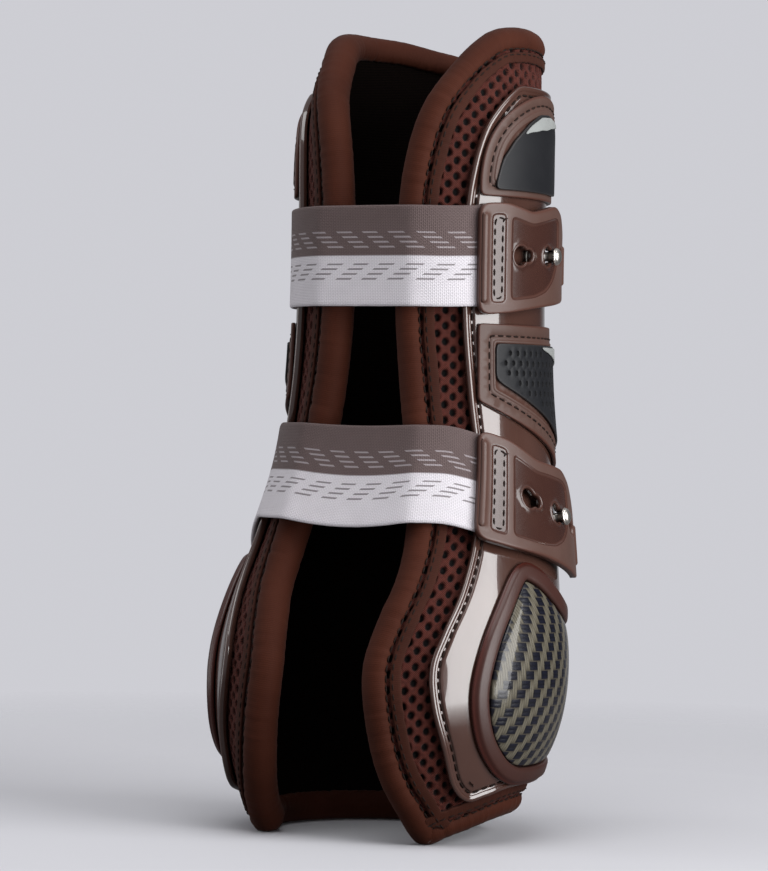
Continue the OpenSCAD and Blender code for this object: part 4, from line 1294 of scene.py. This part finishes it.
def moulded_tab(level):
    """Moulded tab with a raised end rib, a stitched window, a glossy panel with three keyholes and
    a grip rib."""
    level_s = slope_at(level)
    radius = station(level_s)[1] + TAB_OUT

    def x_at(angle):
        return np.radians(angle - STUD_ANGLE) * radius

    def place(x, y, depth):
        angle = STUD_ANGLE + np.degrees(np.asarray(x) / radius)
        s = slope_at(strap_height(level, angle)) + y
        return on_leg(angle, s, tab_depth(angle, s, depth))

    angles = np.linspace(TAB_START, TAB_END, 200)
    low = np.stack([x_at(angles), np.interp(angles, *TAB_LOWER_EDGE.T)], 1)
    high = np.stack([x_at(angles), np.interp(angles, *TAB_UPPER_EDGE.T)], 1)[::-1]
    loop = soften(resample(oriented(np.concatenate([low, high])), 0.6), 16)
    floor = TAB_OUT - 0.4
    relief = Relief()
    foot, inner = relief.rings(loop, edge_steps(TAB_IN, TAB_OUT, 0.45))

    def recess(line, kind):
        """A sunk part with a rounded lip; returns its outer and inner rings."""
        return relief.rings(line, [(-0.35, TAB_OUT, 0.1), (0, TAB_OUT - 0.06, 0.7),
                                   (0.2, floor + 0.12, 0.9), (0.5, floor, 0.5), (0.8, floor, 0)],
                                   kind)

    def ridge(line, rise):
        low_ring, top_ring = relief.rings(line, [
            (0, TAB_OUT, 0.3), (0.25, TAB_OUT + rise * 0.55, 0.5), (0.6, TAB_OUT + rise * 0.9, 0.3),
            (0.95, TAB_OUT + rise, 0.1)])
        relief.fill(top_ring, (), 1.0, TAB_OUT + rise)
        return low_ring

    def bar(left, width, low, high, spacing):
        corners = np.array([[left, low], [left + width, low], [left + width, high], [left, high]])
        return soften(resample(corners, spacing), 4)

    def clipped(line, first, last):
        cut = line.copy()
        cut[:, 0] = np.clip(line[:, 0], x_at(first), x_at(last))
        return soften(resample(cut, 0.5), 8)

    top_angles = np.linspace(67.5, 105.5, 60)
    top_line = np.stack([x_at(top_angles), np.interp(top_angles, *TAB_UPPER_EDGE.T) - 3.9], 1)
    turned = np.array([[105.5, 3], [103, -3], [98, -7.5], [91, -10.8], [82, -12.6], [67.5, -13.6]])
    low_line = np.stack([x_at(turned[:, 0]), turned[:, 1]], 1)
    panel = soften(resample(oriented(np.concatenate([top_line, low_line])), 0.5), 12)
    window = clipped(inset_loop(loop, 3.3), 57.5, 64.5)
    panel_out, panel_in = recess(panel, 1)
    window_out, window_in = recess(window, 1)
    hole_low, hole_foot = [], []
    for step in (-KEYHOLE_PITCH, 0, 0.92 * KEYHOLE_PITCH):
        hole = keyhole_loop(np.array([step, 0.0]))
        face, lip = (TAB_OUT, 0.0) if step > 0 else (floor, 0.3)
        outer_ring, inner_ring = relief.rings(hole, [
            (-1.0, face, 0), (-0.85, face + 0.65 * lip, 0.3), (-0.6, face + lip, 0.6),
            (-0.3, face + 0.95 * lip - 0.02, 0.6), (0, face + 0.2 * lip - 0.2, 0.8),
            (0, TAB_IN, 0.4)], 0 if step > 0 else 1)
        hole_low.append(outer_ring)
        hole_foot.append(inner_ring)
    relief.fill(panel_in, hole_low[:2], 1.4, floor, 1)
    relief.fill(window_in, (), 1.4, floor, 1)
    end_line = bar(x_at(TAB_START) + 0.5, 2.4, -14.5, 13.2, 0.5)
    grip_line = bar(x_at(121.4), 2.0, -9.0, 3.6, 0.4)
    rings = [panel_out, window_out, hole_low[2], ridge(end_line, 0.75), ridge(grip_line, 0.6)]
    relief.fill(inner, rings, 1.4, TAB_OUT)
    name = BODIES[level]
    finish_relief(relief, foot, hole_foot, name + "_tab_moulding", [tab_matte, tab_gloss], "tab",
                  [name + "_tab"], place, name + "_tab", TAB_IN)
    seam_line = stitched_line(inset_loop(window, 1.2), floor + 0.05, place, 3.0, 2.3, 0.26)
    piece(name + "_tab_stitches", *seam_line, [dark_thread], name + "_tab", "tab")


for level in (UPPER, LOWER):
    elastic_strap(level)
    patch(level)
    moulded_tab(level)

# ---------- studs ----------

HEAD_D, HEAD_RISE, NECK_D = 5.4, 1.9, 3.0


def stud_parts(level):
    """Turned stud: neck, shoulder on the shell, and a domed head with a narrow rim."""
    s = float(slope_at(strap_height(level, STUD_ANGLE)))
    base = float(tab_depth(STUD_ANGLE, s, TAB_OUT)) + 0.7
    r = HEAD_D / 2
    dome = [(r * np.sin(t),
             base + 0.55 + (HEAD_RISE - 0.55) * np.cos(t)) for t in np.linspace(1.35, 0, 14)]
    profile = [(0, 0.1), (NECK_D / 2 - 0.15, 0.1), (NECK_D / 2, 0.3), (NECK_D / 2, 2.5),
               (NECK_D / 2 + 1.5, 2.5), (NECK_D / 2 + 1.6, 2.6), (NECK_D / 2 + 1.6, 3.35),
               (NECK_D / 2 + 1.5, 3.5), (NECK_D / 2, 3.5), (NECK_D / 2, base), (r - 0.12, base),
               (r, base + 0.12), (r, base + 0.42), (r - 0.1, base + 0.56), (r - 0.22, base + 0.58)]
    profile += [(0.93 * x, z) for x, z in dome]
    turn = np.radians(np.arange(0, 360, 7.5))
    normal = outward(STUD_ANGLE, s)
    centre = section_point(np.array(STUD_ANGLE), s)
    across = np.cross([0, 0, 1], normal)
    across /= np.linalg.norm(across)
    up = np.cross(normal, across)
    radii, heights = np.array(profile).T
    ring = across * np.cos(turn)[:, None] + up * np.sin(turn)[:, None]
    verts = centre + ring[None] * radii[:, None, None] + normal * heights[:, None, None]
    verts = np.concatenate([verts, verts[:, :1]], 1)
    rows, cols = verts.shape[:2]
    uv = np.stack(np.meshgrid(np.linspace(0, 1, cols), heights), -1)
    return verts.reshape(-1, 3), grid_faces(rows, cols), uv.reshape(-1, 2)


piece("turned_studs", *merge([stud_parts(level) for level in (UPPER, LOWER)]), [nickel], "boot",
      "stud",
      ["studs"])
for slot in bpy.data.objects["stud_washers"].material_slots:
    slot.material = steel

# ---------- floor, light and camera ----------

PALE = (0.613, 0.614, 0.655)
# the room seen in reflections and its light, darker towards one side
ROOM_LIGHT, ROOM_DARK = (0.33, 0.33, 0.345), (0.03, 0.03, 0.035)
DARK_SIDE = (0.616, 0.788, 0)


def floor_look():
    """Pale floor that fades into the background."""
    k = Look("studio_floor", roughness=0.75, base_color=(0.64, 0.64, 0.675))
    distance = k.add("VectorMath", {0: k.place}, operation="LENGTH").outputs["Value"]
    grain = k.noise(2.0, 2)
    k.bump(grain, 0.01)
    clear = k.add("BsdfTransparent").outputs[0]
    bounced = k.add("BsdfDiffuse", {"Color": (0.16, 0.155, 0.16, 1)}).outputs[0]
    path = k.add("LightPath").outputs["Is Camera Ray"]
    surface = k.add("MixShader", {0: path, 1: bounced, 2: k.shader.outputs[0]}).outputs[0]
    mixed = k.add("MixShader", {0: k.fit(distance, 0.22, 0.55), 1: surface, 2: clear})
    k.links.new(mixed.outputs[0], k.nodes["Material Output"].inputs["Surface"])
    return k.material


bpy.ops.mesh.primitive_circle_add(vertices=96, radius=0.6, fill_type="NGON",
                                  location=(0, 0, -0.0002))
floor = bpy.context.object
floor.name = "studio_floor"
floor.data.materials.append(floor_look())

world = bpy.data.worlds.new("studio")
world.use_nodes = True
tree = world.node_tree
background = tree.nodes["Background"]
background.inputs["Color"].default_value = (*PALE, 1)
room = tree.nodes.new("ShaderNodeBackground")
toward = tree.nodes.new("ShaderNodeVectorMath")
toward.operation = "DOT_PRODUCT"
toward.inputs[1].default_value = DARK_SIDE
gloom = tree.nodes.new("ShaderNodeMapRange")
gloom.inputs["From Min"].default_value = 0.62
gloom.inputs["From Max"].default_value = 0.85
shade = tree.nodes.new("ShaderNodeMix")
shade.data_type = "RGBA"
shade.inputs[6].default_value = (*ROOM_LIGHT, 1)
shade.inputs[7].default_value = (*ROOM_DARK, 1)
tree.links.new(tree.nodes.new("ShaderNodeTexCoord").outputs["Generated"], toward.inputs[0])
tree.links.new(toward.outputs["Value"], gloom.inputs["Value"])
tree.links.new(gloom.outputs[0], shade.inputs[0])
tree.links.new(shade.outputs[2], room.inputs["Color"])
seen = tree.nodes.new("ShaderNodeLightPath")
choice = tree.nodes.new("ShaderNodeMixShader")
tree.links.new(seen.outputs["Is Camera Ray"], choice.inputs[0])
tree.links.new(room.outputs[0], choice.inputs[1])
tree.links.new(background.outputs[0], choice.inputs[2])
tree.links.new(choice.outputs[0], tree.nodes["World Output"].inputs["Surface"])
bpy.context.scene.world = world
bpy.context.scene.view_settings.view_transform = "Standard"


def softbox(name, bearing, height, distance, width, tall, power, target=(0, 0, 0.12)):
    """Area light at a bearing round the leg, counted as the leg's angles are."""
    light = bpy.data.lights.new(name, "AREA")
    light.shape = "RECTANGLE"
    light.size, light.size_y, light.energy = width, tall, power
    obj = bpy.data.objects.new(name, light)
    a = np.radians(bearing)
    obj.location = (distance * np.sin(a), -distance * np.cos(a), height)
    aim = Vector(target) - obj.location
    obj.rotation_euler = aim.to_track_quat("-Z", "Y").to_euler()
    bpy.context.scene.collection.objects.link(obj)


softbox("main_softbox", 83, 0.25, 1.2, 0.92, 1.3, 26)
softbox("left_fill", -62, 0.35, 1.3, 0.5, 1.2, 4)
softbox("top_fill", 20, 1.3, 0.35, 0.9, 0.9, 8)

VIEW_ANGLE, VIEW_DISTANCE, VIEW_HEIGHT, ROLL = 28, 1.085, 0.1225, 1.2
VIEW_LENS, VIEW_SHIFT = 142.6, -0.039
camera_data = bpy.data.cameras.new("camera")
camera_data.lens = VIEW_LENS
camera_data.sensor_width = 36
camera_data.shift_x = VIEW_SHIFT
camera = bpy.data.objects.new("camera", camera_data)
back = Vector((np.sin(np.radians(VIEW_ANGLE)), -np.cos(np.radians(VIEW_ANGLE)), 0))
camera.location = back * VIEW_DISTANCE + Vector((0, 0, VIEW_HEIGHT))
camera.rotation_mode = "QUATERNION"
camera.rotation_quaternion = back.to_track_quat("Z", "Y") @ Quaternion((0, 0, 1), np.radians(ROLL))
bpy.context.scene.collection.objects.link(camera)
bpy.context.scene.camera = camera
